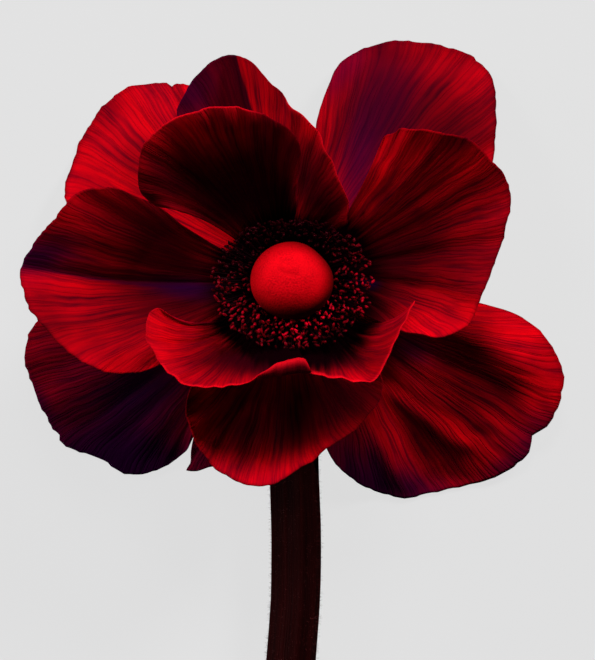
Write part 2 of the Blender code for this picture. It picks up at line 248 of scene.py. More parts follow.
def newMaterial(name):
    material = bpy.data.materials.new(name)
    material.use_nodes = True
    material.node_tree.nodes.clear()
    return material, material.node_tree


def showSurface(tree, place, shader):
    addNode(tree, "ShaderNodeOutputMaterial", place, Surface=shader)


def showSkin(tree, place, **values):
    skin = addNode(tree, "ShaderNodeBsdfPrincipled", place, **values)
    showSurface(tree, (place[0] + 2, place[1]), skin.outputs[0])


veinForm = {
    "sway": 0.025,  # how far veins wander, as a share of the blade's width
    "veinWidth": 0.07,
    "fineTimes": 2.1,  # fine veins for each coarse one
    "bandTimes": 0.55,
}


def makeVeinGroup():
    # branching veins and fine streaks that follow a piece's UV, where v runs along the veins
    tree = bpy.data.node_groups.new("fan veins", "ShaderNodeTree")
    for name, kind in (("UV", "Vector"), ("Veins", "Float"), ("Streaks", "Float")):
        tree.interface.new_socket(name=name, in_out="INPUT", socket_type="NodeSocket" + kind)
    for name in ("Vein Mask", "Streak Mask", "Band Mask", "Height"):
        tree.interface.new_socket(name=name, in_out="OUTPUT", socket_type="NodeSocketFloat")
    given = addNode(tree, "NodeGroupInput", (-7, 0)).outputs
    uv = addNode(tree, "ShaderNodeSeparateXYZ", (-5, 0), Vector=given["UV"]).outputs
    sway = addNode(tree, "ShaderNodeTexNoise", (-6, 2), Vector=given["UV"], Scale=5.0, Detail=1.0)
    sway = mathNode(tree, "SUBTRACT", (-5, 2), sway.outputs[0], 0.5)
    sway = mathNode(tree, "MULTIPLY", (-4, 2), sway, veinForm["sway"])
    across = mathNode(tree, "ADD", (-4, 1), uv[0], sway)

    def stretchedNoise(row, count, along, detail):
        joined = addNode(
            tree, "ShaderNodeCombineXYZ", (-2, row), X=mathNode(tree, "MULTIPLY", (-3, row), across, count),
            Y=mathNode(tree, "MULTIPLY", (-3, row - 0.5), uv[1], along),
        )
        noise = addNode(
            tree, "ShaderNodeTexNoise", (-1, row), Vector=joined.outputs[0], Scale=1.0, Detail=detail,
            Roughness=0.6,
        )
        return noise.outputs[0]

    # a vein lies where the stretched noise crosses its middle value, so veins fork and meet
    def veinLines(row, count, along):
        centred = mathNode(tree, "SUBTRACT", (0, row), stretchedNoise(row, count, along, 0.0), 0.5)
        away = mathNode(tree, "ABSOLUTE", (0.5, row), centred)
        return spread(tree, (1, row), away, 0.0, veinForm["veinWidth"], 1.0, 0.0)

    coarse = veinLines(3, given["Veins"], 0.9)
    fine = veinLines(1, mathNode(tree, "MULTIPLY", (-4, 0), given["Veins"], veinForm["fineTimes"]), 1.8)
    fine = mathNode(tree, "MULTIPLY", (2, 1), fine, spread(tree, (2, 0), uv[1], 0.25, 0.6))
    veins = mathNode(tree, "MAXIMUM", (3, 2), coarse, fine)
    streaks = spread(tree, (2, -2), stretchedNoise(-2, given["Streaks"], 5.0, 2.0), 0.3, 0.7)
    bandCount = mathNode(tree, "MULTIPLY", (-4, -4), given["Veins"], veinForm["bandTimes"])
    bands = spread(tree, (2, -4), stretchedNoise(-4, bandCount, 1.6, 1.0), 0.35, 0.7)
    height = mathNode(tree, "ADD", (5, -1), mathNode(tree, "MULTIPLY", (4, 0), veins, -0.8), streaks)
    addNode(
        tree, "NodeGroupOutput", (6, 0), Vein_Mask=veins, Streak_Mask=streaks, Band_Mask=bands,
        Height=height,
    )
    return tree


veinGroup = makeVeinGroup()


tepalFinish = {
    "red": (0.86, 0.0, 0.0045),
    "deepRed": (0.10, 0.0001, 0.0065),
    # the dark base: partly the tepals' own colour, partly painted shade in the throat
    "darkBaseAndShade": (0.002, 0.0, 0.0002),
    # painted shade
    "shade": (0.02, 0.0, 0.0017),
    # painted violet shade
    "paintedVioletShade": (0.017, 0.0, 0.019),
    "violet": (0.012, 0.0, 0.03),
    # a painted highlight on the rim
    "rim": (0.95, 0.004, 0.012),
    "backRed": (0.70, 0.001, 0.012),
    "veins": 46.0,
    "streaks": 75.0,
    "veinDepth": 0.055,  # millimetres of bump
    "roughness": 0.6,
    "sheen": 0.012,
    "sheenTint": (0.6, 0.0, 0.3),
    "specular": 0.03,
    "specularTint": (1.0, 0.1, 0.15),
    "throughLight": 0.35,
    # how far veins, streaks, bands and mottling deepen the red
    "veinShare": 0.58,
    "streakShare": 0.2,
    "bandShare": 0.38,
    "mottleShare": 0.2,
    "rimVeins": 0.45,  # share of the veins' strength that is left at the rim
}


def makeTepalMaterial(name, red, strength):
    material, tree = newMaterial(name)
    uv = addNode(tree, "ShaderNodeUVMap", (-7, 0), uv_map="UVMap").outputs[0]
    veins = addNode(
        tree, "ShaderNodeGroup", (-5, 0), node_tree=veinGroup, UV=uv, Veins=tepalFinish["veins"],
        Streaks=tepalFinish["streaks"],
    ).outputs
    along = addNode(tree, "ShaderNodeSeparateXYZ", (-6, 3), Vector=uv).outputs[1]
    kept = spread(tree, (-5, 3), along, 0.6, 1.0, strength, tepalFinish["rimVeins"] * strength)
    darker = mathNode(tree, "MULTIPLY", (-4, 3), veins["Vein Mask"], kept)
    darker = mathNode(tree, "MULTIPLY", (-3, 3), darker, tepalFinish["veinShare"])
    mottle = spread(tree, (-5, -2), objectNoise(tree, (-6, -2), 170.0, 3.0), 0.35, 0.75)
    for column, mask, share in (
        (0, veins["Streak Mask"], "streakShare"), (1, veins["Band Mask"], "bandShare"),
        (2, mottle, "mottleShare"),
    ):
        part = mathNode(tree, "MULTIPLY", (column - 4, -1), mask, tepalFinish[share])
        darker = mathNode(tree, "ADD", (column - 3, 1), darker, part, clamp=column == 2)
    color = mixColors(tree, (0, 0), darker, red, tepalFinish["deepRed"])
    # each value that the piece holds lays its own colour over the red: painted shade, painted violet shade,
    # the dark base that is partly the tepal's own and partly painted shade, violet streaks, and a painted
    # highlight on the rim
    for column, value in enumerate(("shade", "paintedVioletShade", "darkBaseAndShade", "violet", "rim"), 1):
        share = pointValue(tree, (column, -3), value)
        color = mixColors(tree, (column, 0), share, color, tepalFinish[value])
    normal = bumpFrom(tree, (6, -2), veins["Height"], tepalFinish["veinDepth"])
    skin = addNode(
        tree, "ShaderNodeBsdfPrincipled", (7, 0), Base_Color=color, Normal=normal,
        Roughness=tepalFinish["roughness"], Specular_IOR_Level=tepalFinish["specular"],
        Specular_Tint=tepalFinish["specularTint"], Sheen_Weight=tepalFinish["sheen"],
        Sheen_Roughness=0.45, Sheen_Tint=tepalFinish["sheenTint"],
    )
    through = addNode(tree, "ShaderNodeBsdfTranslucent", (7, -4), Color=color, Normal=normal)
    both = mixShaders(tree, (9, 0), tepalFinish["throughLight"], skin.outputs[0], through.outputs[0])
    showSurface(tree, (10, 0), both)
    return material


tepalFace = makeTepalMaterial("tepal face", tepalFinish["red"], 0.75)
tepalBack = makeTepalMaterial("tepal back", tepalFinish["backRed"], 0.9)


# Tepals

tepalForm = {
    "columns": 121,
    "rows": 85,
    "thickness": 0.36,
    "rimThickness": 0.35,  # share of the thickness that is left at the rim
    "clawRadius": 4.85,
    "clawWidth": 5.0,
    "veinLength": 32.0,
    "heights": {"outer": -3.3, "middle": 0.7, "inner": 3.4},
    "foldStart": 0.55,  # reach at which a fold has its full depth
    "flareStart": 0.78,  # reach at which a flare begins
    "bunching": 0.24,  # how far the veins' middles draw together
    "sideLoss": 0.45,  # how much less the blade bellies at its sides
    # distances from the axis at which the dark base, partly the tepals' own colour and partly painted shade
    # in the throat, starts to fade and is gone
    "darkBaseAndShade": {"outer": (9, 13), "middle": (12, 16.5), "inner": (13, 17)},
    "solidThickness": 0.65,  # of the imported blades, which lie on the table
    "restSoftness": 0.5,
    "pleats": 0.16,  # height of the soft pleats that run along the veins
    "ridges": 0.02,
    "dimples": 0.05,
    "frill": 0.11,  # how unevenly the rim is cut
    "rimWave": 0.2,
    "rimShade": 0.5,  # how much painted shade darkens the cut rim
    "rimLightFade": 0.03,  # share of the rim over which a painted highlight fades at its ends
    # angles of a curl through which the face's own patches fade and the rolled side takes painted shade
    "curlClears": (0.4, 1.2),
    "curlShadeAngles": (0.2, 1.4),
}

# Each tepal's own values. Places run from 0 to 1 round the rim in the order of the edge's points,
# and reaches from 0 at the claw to 1 at the rim.
# edge: points round the rim, from one side of the base to the other
# belly, bulge: how far the blade's middle is raised and pushed outward
# lift, claw, flare: height of the claw over its whorl's, its width, how far the rim bends down
# folds: place, depth, width
# bows: place, width, and how far the veins' middles shift there along y and z
# swells: x and y of a soft ridge's start and of its end, width, height
# notches: place, depth, width
# pleats, frill, rimWave, stain (the dark base with painted shade in the throat): in place of tepalForm's
# shades, dusks: patches of painted shade, plain and violet, as x, y, reach, width, turn in degrees, depth
# in halvings
# creases: painted shade beside a fold, as place, drift toward the claw, side that darkens, width, depths of
# the plain and of the violet shade
# violet: violet streaks as place, start, end, width, share
# rims: painted highlights on parts of the rim as start, end, strength, inner reach
# curl: where the rim rolls over toward the axis, how tightly, how far and how much painted shade its rolled
# side takes
tepals = {
    "tepal_outer_upper_left": {
        "whorl": "outer", "azimuth": 140, "belly": 6,
        "edge": [
            (-7, 13, -2.2), (-9, 21, -2.6), (-11.5, 27.5, -5), (-14.5, 31.8, -8.5), (-19.5, 33.2, -12.5),
            (-24.5, 33.2, -15.5), (-29.5, 31.5, -17.8), (-33, 28, -17.8), (-35.5, 23.5, -16.5),
            (-37.3, 18.5, -14), (-38.2, 14.5, -11.5), (-36, 10.5, -8.5), (-29, 8, -3), (-19, 6, 1),
        ],
        "folds": [(0.62, 1.0, 0.06), (0.35, 0.8, 0.06)],
        "notches": [(0.34, 0.9, 0.006)],
        "darkBaseAndShade": (11.2, 12.5),
        "shades": [(-30, 22, 14, 12, 0, 0.5), (-25, 20, 4, 4, 0, 1.0), (-35, 18, 4, 5, 0, 0.4)],
    },
    "tepal_outer_upper_right": {
        "whorl": "outer", "azimuth": 60, "belly": 7,
        "edge": [
            (16, 5, -3), (25, 9, -4.5), (31.5, 14.5, -6.5), (33.7, 20.5, -9), (34.2, 27, -11),
            (33.9, 33, -13), (31.4, 37.2, -15), (26, 39.4, -16.8), (19.5, 40.4, -17.8), (13, 39.5, -16.8),
            (8.3, 36.8, -13.5), (5.6, 31.5, -9.5), (3.9, 25.5, -5.5), (3.4, 17, -3),
        ],
        "folds": [(0.47, 2.4, 0.1), (0.62, 1.0, 0.06)],
        "notches": [(0.47, 0.35, 0.012)],
        "shades": [(18, 28, 17, 12, 0, 2.1), (27, 25, 8, 5, -20, 1.5), (15, 29, 12, 5, 80, 2.2)],
        "darkBaseAndShade": (8, 11),
        "paintedVioletShades": [(15.5, 29, 12, 5, 80, 0.5), (10.5, 17, 9, 2.6, 82, 1.6), (9, 36, 5, 2, 55, 1.0)],
    },
    "tepal_outer_lower_right": {
        "whorl": "outer", "azimuth": -33, "belly": 5,
        "edge": [
            (6.3, -13, -3.4), (5.6, -21, -5), (6, -28.5, -8.5), (9, -32.3, -12), (14, -35.2, -15.5),
            (19, -36.3, -17.5), (22, -35.7, -17.6), (26, -35.2, -17.5), (32.5, -33.3, -16),
            (36.8, -31.6, -14.8), (38.8, -30.2, -14.3), (39.9, -28, -13.6), (40.6, -26, -12.9),
            (42.5, -24.5, -12.2), (44.6, -21, -11), (45.5, -16, -9.5), (43, -10.2, -7.5), (38, -5.8, -5.5),
            (31, -3.6, -3.8), (21, -2.4, -2.6), (13, -1.8, -2.6),
        ],
        "folds": [(0.6, 0.6, 0.05)],
        "swells": [
            (25.5, -6.5, 38, -13.5, 3.6, 1.9), (11.8, -21, 18.8, -34.5, 2.8, 1.1),
            (15.5, -18.6, 28, -27.4, 1.6, 0.65),
        ],
        "pleats": 0.15,
        "shades": [
            (35, -17.7, 4, 1.4, -36, 3.2), (28, -13.6, 7, 0.9, -27, 2.0), (31, -11, 6, 3, -35, 1.2),
            (32.5, -19, 5, 2.6, -40, 0.8), (28.5, -17, 9, 2.8, -33, 1.4),
            (31.8, -24.8, 2.6, 0.9, -15, 1.6), (20.5, -23, 6, 0.6, -42, 1.0),
            (15.5, -23.5, 4, 2.2, -60, 0.7), (28, -28.2, 4, 0.9, -22, 0.8),
            (27.5, -22, 4.5, 0.9, -32, 1.4), (43.2, -22.3, 3, 1.2, -55, 1.4),
        ],
        "paintedVioletShades": [
            (19, -11, 3.8, 2.2, -15, 2.4), (10, -31, 8, 4, -50, 3.0), (17, -35, 8, 3, -10, 3.4),
            (14.5, -31, 4, 1.1, -75, 2.0), (40, -27, 5, 2.5, 55, 1.4), (36, -31, 5, 1.5, 25, 1.4),
        ],
        "notches": [(0.545, 0.2, 0.008), (0.49, 0.3, 0.01)],
    },
    "tepal_outer_lower_left": {
        "whorl": "outer", "azimuth": 217, "belly": 6,
        "edge": [
            (-14, -2.6, -3.2), (-24, -3, -4), (-34, -3.8, -5.5), (-41, -5.2, -7.5), (-44.3, -9.5, -10),
            (-44.6, -14, -12), (-42.8, -19.5, -14), (-40.4, -24.3, -16), (-39.2, -27, -17.2),
            (-36.6, -28.2, -17.6), (-32, -30, -17.8), (-27, -32.6, -17.8), (-22, -31.3, -16.5),
            (-18.3, -28.9, -14), (-16.2, -25.2, -10), (-12.5, -19.5, -7), (-8.5, -13, -4.8),
        ],
        "folds": [(0.55, 1.5, 0.08), (0.75, 1.2, 0.07)],
        "notches": [(0.53, 0.6, 0.008)],
        "paintedVioletShades": [
            (-28, -20, 13, 13, 0, 2.2), (-27, -22, 12, 5, 60, 2.2), (-27, -31, 13, 5, -10, 6.6),
            (-24, -18.5, 7, 3, 25, 1.6), (-42.3, -20.5, 4, 1.4, -65, 2.0),
        ],
    },
    "tepal_outer_bottom": {
        "whorl": "outer", "azimuth": 253, "belly": 0.5, "lift": 1.9, "claw": 3.2,
        "edge": [
            (-8.5, -12, -1.5), (-13.2, -19.5, -2.5), (-16.4, -26, -4), (-16.9, -28.8, -4.3),
            (-17, -30.4, -4.5), (-17.7, -31.6, -4.6), (-16.3, -31.8, -4.4), (-13.5, -31, -4.1),
            (-7, -31.8, -3), (-1, -31.5, -3), (3, -29, -3), (4, -23, -3), (3.2, -14, -2),
        ],
        "folds": [(0.5, 0.5, 0.08)],
        "frill": 0.03,
        "paintedVioletShades": [(-12, -28, 9, 9, 0, 2.3)],
    },
    "tepal_middle_top": {
        "whorl": "middle", "azimuth": 104, "belly": -3,
        "edge": [
            (9.3, 9.5, 9), (9.1, 13.5, 12.5), (6.4, 20, 15), (3.7, 25.2, 15.5), (0, 29, 14.5),
            (-4, 33.2, 12.5), (-9, 37.6, 8.5), (-13.5, 36.3, 6), (-16.6, 33.2, 5), (-19, 28.5, 4.8),
            (-18, 22.5, 4.8), (-12.5, 15, 4),
        ],
        "folds": [(0.555, 3.2, 0.12)],
        "foldSideShades": [(0.555, -0.2, 1, 0.4, 3.3, 0.35)],
        "frill": 0.05,
        "darkBaseAndShade": (10, 13),
        "shades": [
            (3.6, 17.5, 6.5, 2.8, 105, 3.0), (5.4, 12, 4, 4, 0, 2.2), (-5, 30, 8, 5, 110, 0.5),
            (1.2, 17, 5, 1.8, 95, 1.5), (-17, 31, 4, 3, 60, 1.4),
        ],
        "paintedRimLights": [(0.06, 0.36, 0.35, 0.965)],
        "paintedVioletShades": [(-17, 31, 4, 3, 60, 1.0)],
    },
    "tepal_middle_left": {
        "whorl": "middle", "azimuth": 182, "belly": -1,
        "edge": [
            (-19, 9.6, 6.5), (-21.9, 12, 7.6), (-24.7, 13.6, 8.5), (-30.5, 15.5, 9.5), (-35.6, 14.5, 9),
            (-39.5, 10.4, 8), (-43.2, 5.8, 6.5), (-45.3, 1.6, 5.5), (-44.6, -2.4, 6), (-43.2, -5.4, 6.5),
            (-40.6, -8.4, 7), (-36.5, -12.3, 8), (-31, -15.1, 8.5), (-27.3, -15.4, 8.2), (-24, -14.8, 7.5),
            (-19, -12.3, 4.8), (-12, -8, 2.2),
        ],
        "folds": [(0.426, 4.5, 0.16)],
        "foldSideShades": [(0.426, 0.1, -1, 0.018, 0.7, 1.6)],
        "bows": [(0, 0.15, -1.8, 0), (0.47, 0.22, -2.0, 0)],
        "shades": [
            (-24, 8, 9, 6, -30, 2.6), (-18, -3, 10, 4.5, 0, 4.0), (-31, -8.5, 12, 5.5, 0, 1.5),
            (-15, 1, 5, 3, 0, 1.5), (-38, 10.5, 4, 2.5, -50, 0.7), (-19, 3.5, 6, 2.5, -10, 1.2),
            (-41, -6.5, 4.5, 3, -45, 1.0), (-30, 7, 12, 7, 0, 0.5),
        ],
        "paintedVioletShades": [(-41.5, 4.4, 4.5, 2.4, 10, 3.0), (-17, -1.4, 6, 1.4, -8, 2.1)],
        "violet": [(0.47, 0.2, 0.45, 0.025, 0.12)],
        "notches": [(0.48, 0.3, 0.006), (0.535, 0.3, 0.006)],
    },
    "tepal_middle_right": {
        "whorl": "middle", "azimuth": 22, "belly": -7,
        "edge": [
            (9, -3.6, 2.4), (15, -7, 4.8), (20, -8.7, 7), (25, -9.3, 9), (29, -7.4, 9.5), (31.7, -2.3, 10),
            (33.9, 4.3, 10.5), (36.1, 11, 11), (35.7, 16.3, 12), (33.2, 19.9, 13.5), (28.9, 23.4, 15.5),
            (24, 24.6, 15.8), (20, 25.2, 15.3), (18.2, 25.2, 14.4), (17, 24.4, 13.5), (15.5, 24.1, 11.5),
            (14.5, 22.2, 9.5), (13.8, 18, 6.5), (12, 11.5, 4.5),
        ],
        "darkBaseAndShade": (13, 18),
        "bows": [(1, 0.12, -2.5, 0)],
        "violet": [(0.27, 0.2, 0.42, 0.03, 0.35), (0.98, 0.1, 0.5, 0.05, 0.5)],
        "folds": [(0.42, 1.3, 0.07), (0.3, 1.0, 0.06)],
        "shades": [
            (28, 5, 11, 10, 0, 1.6), (16, 3, 6, 4.5, 5, 4.2), (15, 9, 4.5, 2.4, 25, 1.2),
            (15, -1, 3.5, 3, 0, 1.0), (14, -5.5, 3.5, 3, 0, 3.5), (21, 9, 8, 5, 20, 0.6),
            (26, 23, 6, 2.5, -20, 0.6),
        ],
    },
    "tepal_middle_bottom": {
        "whorl": "middle", "azimuth": -97, "belly": -9.5,
        "edge": [
            (-9, -8, 3.2), (-14.5, -14, 6.5), (-17.5, -20.5, 9), (-16.4, -26, 10.5), (-12.7, -31, 11),
            (-8.5, -33.5, 11), (-4.2, -34, 10.5), (0, -32, 10.5), (4.5, -28.8, 10.5), (10, -25, 10.5),
            (13.8, -21, 10), (15, -17, 8.5), (12, -11, 5), (8, -7, 3.2),
        ],
        "folds": [(0.35, 0.7, 0.06), (0.65, 0.7, 0.06)],
        "shades": [
            (-2, -25, 8, 4, 0, 2.3), (8, -19.5, 7, 4.5, 20, 3.6), (10.5, -20.5, 3.5, 3, 0, 0.9),
            (-8.5, -25, 3, 6, 0, 2.0), (6, -22.5, 6, 3.5, 25, 0.6), (-17.5, -20, 1.4, 5, 0, 1.2),
        ],
    },
    "tepal_inner_top": {
        "whorl": "inner", "azimuth": 119, "belly": -11, "bulge": 1.5, "lift": 0.3, "flare": 3.6,
        "edge": [
            (0.9, 12.3, 14.6), (0.8, 16.5, 18.9), (1.4, 20.8, 22.9), (0.2, 23.8, 25.4), (-1.9, 25.3, 26.6),
            (-4.3, 26.9, 27.9), (-8.1, 28.2, 29.1), (-11.8, 28.6, 29.9), (-16, 27.7, 29.7),
            (-19.4, 26.5, 28.9), (-21.5, 25, 27.7), (-23.7, 22.6, 26.4), (-25.1, 18.9, 24.4),
            (-25.2, 15.3, 21.9), (-23.8, 13.2, 19.6), (-21.6, 12, 17.9),
        ],
        "folds": [(0.75, 0.7, 0.07), (0.3, 0.6, 0.07)],
        "darkBaseAndShade": (11, 14.5),
        "paintedRimLights": [(0.42, 0.7, 0.4, 0.965), (0.4, 0.74, 0.22, 0.89)],
        "bows": [(1, 0.25, 3.1, 0)],
        "frill": 0.06,
        "rimWave": 0.1,
        "shades": [
            (-6, 18.5, 9.5, 5, 10, 3.3), (-5, 12.5, 9, 3.5, 0, 3.4), (-0.5, 23.5, 3.5, 1.8, -55, 1.4),
            (-19, 16.5, 8, 4, -20, 2.4), (-11, 10.5, 4, 2.5, -20, 2.0), (-22.5, 16, 4, 4, 0, 1.5),
        ],
    },
    "tepal_inner_lower_left": {
        "whorl": "inner", "azimuth": 232, "belly": -10.5, "bulge": 1.6, "lift": 0.9,
        "edge": [
            (-21.1, -5, 12.6), (-22.3, -4.6, 13.8), (-23.6, -5.6, 15), (-24.1, -7.6, 16.2),
            (-23.7, -9.6, 17.2), (-22.7, -11.9, 18.4), (-20.8, -14.8, 19.6), (-18.2, -16.7, 20.3),
            (-15.5, -17.7, 20.6), (-12.2, -17.5, 21), (-9.5, -17.3, 21), (-6.9, -16.6, 21),
            (-4.5, -15.9, 21), (-2.2, -15.6, 20.8), (0.3, -15.4, 20.6), (2, -15.2, 20.4), (3.2, -15, 20),
        ],
        "folds": [(0.2, 0.3, 0.07)],
        "bows": [(0, 0.4, -6, 0)],
        "rimWave": 0.05,
        "frill": 0.04,
        "curl": {
            "start": 0.66, "full": 0.88, "fade": 0.97, "end": 1.01, "radius": 1.5, "turn": 145,
            "rolledShade": 0.86,
        },
        "darkBaseAndShade": (14, 15.8),
        "shades": [
            (-11, -13.8, 5.5, 3.2, 0, 1.8), (-5.2, -13.3, 6.5, 2, -6, 7.0), (-16, -11, 8, 6, -30, 0.6),
            (-11.5, -7.6, 3.5, 1.8, -15, 2.6),
        ],
        "paintedRimLights": [(-0.1, 0.4, 0.2, 0.8), (0.35, 0.98, 0.5, 0.965)],
    },
    "tepal_inner_lower_right": {
        "whorl": "inner", "azimuth": 308, "belly": -11, "bulge": 1.4, "lift": 0,
        "edge": [
            (-2.4, -11, 5), (-4, -14.8, 11.5), (-1.5, -15.6, 17.5), (2.7, -15.1, 20), (7.8, -15.8, 21),
            (11, -16.5, 21), (13.3, -16.7, 21), (14.3, -15.9, 20.8), (15.1, -14, 20.5), (16.5, -11.2, 20),
            (18.1, -7.8, 19.6), (19.2, -5.4, 19.2), (20.3, -3.4, 18.5),
        ],
        "folds": [(0.5, 0.6, 0.06)],
        "bows": [(1, 0.35, -8, 0)],
        "rimWave": 0.05,
        "frill": 0.04,
        "darkBaseAndShade": (14.5, 17.5),
        "shades": [(14, -11, 8, 6, 0, 1.2), (7, -12.9, 5, 1.8, 0, 4.5)],
        "paintedRimLights": [(0.15, 0.62, 0.6, 0.93), (0.6, 1.1, 0.45, 0.965)],
    },
}


def surfaceNormals(grid):
    normals = np.cross(np.gradient(grid, axis=1), np.gradient(grid, axis=0))
    normals /= np.linalg.norm(normals, axis=2, keepdims=True)
    return normals * np.sign(normals[:, :, 2].mean())


def aboveTable(heights):
    # eases heights up where they would sink into the table
    floorHeight = tepalForm["solidThickness"] / 2 - restDepth
    softness = tepalForm["restSoftness"]
    return floorHeight + softness * np.logaddexp(0, (heights - floorHeight) / softness)


def tepalSurface(tepal, places, reaches):
    # the blade's middle surface: each vein is a quadratic curve from the claw to the rim
    edge = curveThrough(tepal["edge"], places)
    azimuth = radians(tepal["azimuth"])
    outward = np.array([cos(azimuth), sin(azimuth), 0])
    sideways = np.array([-sin(azimuth), cos(azimuth), 0])
    turnedBack = np.dot(edge[0] - edge[-1], sideways) > 0
    side = (places - 0.5) * tepal.get("claw", tepalForm["clawWidth"]) * (-1 if turnedBack else 1)
    claw = outward * np.sqrt(tepalForm["clawRadius"] ** 2 - side**2)[:, None] + sideways * side[:, None]
    claw[:, 2] = tepalForm["heights"][tepal["whorl"]] + tepal.get("lift", 0)
    bend = (claw + edge) / 2
    middle = bend[len(places) // 2].copy()
    bunching = tepalForm["bunching"] * (1 - np.abs(2 * places - 1) ** 3)
    bend[:, :2] += bunching[:, None] * (middle[:2] - bend[:, :2])
    bend[:, 2] += tepal["belly"] * (1 - tepalForm["sideLoss"] * (2 * places - 1) ** 2)
    bend += outward * tepal.get("bulge", 0)
    for place, width, shiftY, shiftZ in tepal.get("bows", ()):
        near = np.exp(-(((places - place) / width) ** 2))
        bend += near[:, None] * np.array([0, shiftY, shiftZ])
    along = reaches[:, :, None]
    grid = (
        (1 - along) ** 2 * claw[:, None]
        + 2 * along * (1 - along) * bend[:, None]
        + along**2 * edge[:, None]
    )
    depth = np.zeros(len(places))
    for place, deepest, width in tepal["folds"]:
        depth += deepest * np.exp(-np.abs(places - place) / width)
    depth *= np.clip(6 * places * (1 - places), 0, 1)
    grown = np.clip(along / tepalForm["foldStart"], 0, 1) ** 1.5
    way = surfaceNormals(grid) if tepal["whorl"] == "inner" else np.array([0, 0, 1])
    grid = grid - way * depth[:, None, None] * grown
    for startX, startY, endX, endY, width, height in tepal.get("swells", ()):
        runX, runY = endX - startX, endY - startY
        offX, offY = grid[:, :, 0] - startX, grid[:, :, 1] - startY
        share = np.clip((offX * runX + offY * runY) / (runX**2 + runY**2), 0, 1)
        away = np.hypot(offX - share * runX, offY - share * runY)
        grid[:, :, 2] += height * np.exp(-((away / width) ** 2))
    flared = np.clip((reaches - tepalForm["flareStart"]) / (1 - tepalForm["flareStart"]), 0, 1)
    grid[:, :, 2] -= tepal.get("flare", 0) * flared**2
    return grid


def patchShare(patches, grid, start):
    # painted shade patches as seen from above, whose depths in halvings of the colour add up
    halvings = np.zeros(grid.shape[:2]) + start
    for x, y, reach, width, turn, depth in patches:
        turn = radians(turn)
        offX, offY = grid[:, :, 0] - x, grid[:, :, 1] - y
        lengthwise = (offX * cos(turn) + offY * sin(turn)) / reach
        sideways = (offY * cos(turn) - offX * sin(turn)) / width
        halvings += depth * np.exp(-(lengthwise**2 + sideways**2))
    return 1 - 0.5 ** np.maximum(halvings, 0)


def curled(grid, places, curl):
    # rolls the rim over toward the flower's axis: the last rows of each vein go round an arc
    rows = grid.shape[1]
    tail = rows // 4
    rim = grid[:, -1]
    onward = rim - grid[:, -4]
    onward /= np.linalg.norm(onward, axis=1, keepdims=True)
    inward = np.array([0, 0, rim[:, 2].mean()]) - rim
    inward -= onward * (inward * onward).sum(axis=1, keepdims=True)
    inward /= np.linalg.norm(inward, axis=1, keepdims=True)
    share = smoothStep(places, curl["start"], curl["full"])
    share *= 1 - smoothStep(places, curl["fade"], curl["end"])
    rolled = curl["radius"] * radians(curl["turn"]) * share
    own = np.linalg.norm(np.diff(grid[:, -tail - 1:], axis=1), axis=2)
    reached = np.concatenate([np.zeros((len(places), 1)), np.cumsum(own, axis=1)], axis=1)
    result = grid.copy()
    turned = np.zeros(grid.shape[:2])
    for k in range(len(places)):
        if rolled[k] < 0.01:
            continue
        vein = grid[k, -tail - 1:]
        wanted = np.linspace(0, reached[k, -1] + rolled[k], tail + 1)
        straight = np.stack([np.interp(wanted, reached[k], vein[:, axis]) for axis in range(3)], axis=1)
        angle = np.maximum(wanted - reached[k, -1], 0) / curl["radius"]
        arc = np.sin(angle)[:, None] * onward[k] + (1 - np.cos(angle))[:, None] * inward[k]
        result[k, -tail - 1:] = straight + curl["radius"] * arc
        turned[k, -tail - 1:] = angle
    return result, turned


def rimCut(tepal, places, chance):
    # the rim is cut unevenly, so veins end a little before or after it
    cut = tepal.get("frill", tepalForm["frill"]) * ripples(places, 0, chance, (14, 23, 37, 55), 0)
    for place, depth, width in tepal.get("notches", ()):
        cut -= depth * np.exp(-((places - place) / width) ** 2)
    return cut * np.clip(12 * places * (1 - places), 0, 1)


def fineRelief(tepal, across, along, chance):
    # pleats, ridges and dimples away from the claw, and a wave along the rim
    relief = 0.0 * along
    for height, rates, drift in (
        (tepal.get("pleats", tepalForm["pleats"]), (5, 8, 11, 15), 0.25),
        (tepalForm["ridges"], (22, 27, 33, 41), 0.8),
        (tepalForm["dimples"], (3, 7, 9), 4),
    ):
        relief += height * ripples(across, along, chance, rates, drift) * smoothStep(along, 0.1, 0.45)
    wave = tepal.get("rimWave", tepalForm["rimWave"])
    return relief + wave * ripples(across, along, chance, (6, 9, 13), 0.3) * smoothStep(along, 0.75, 1)


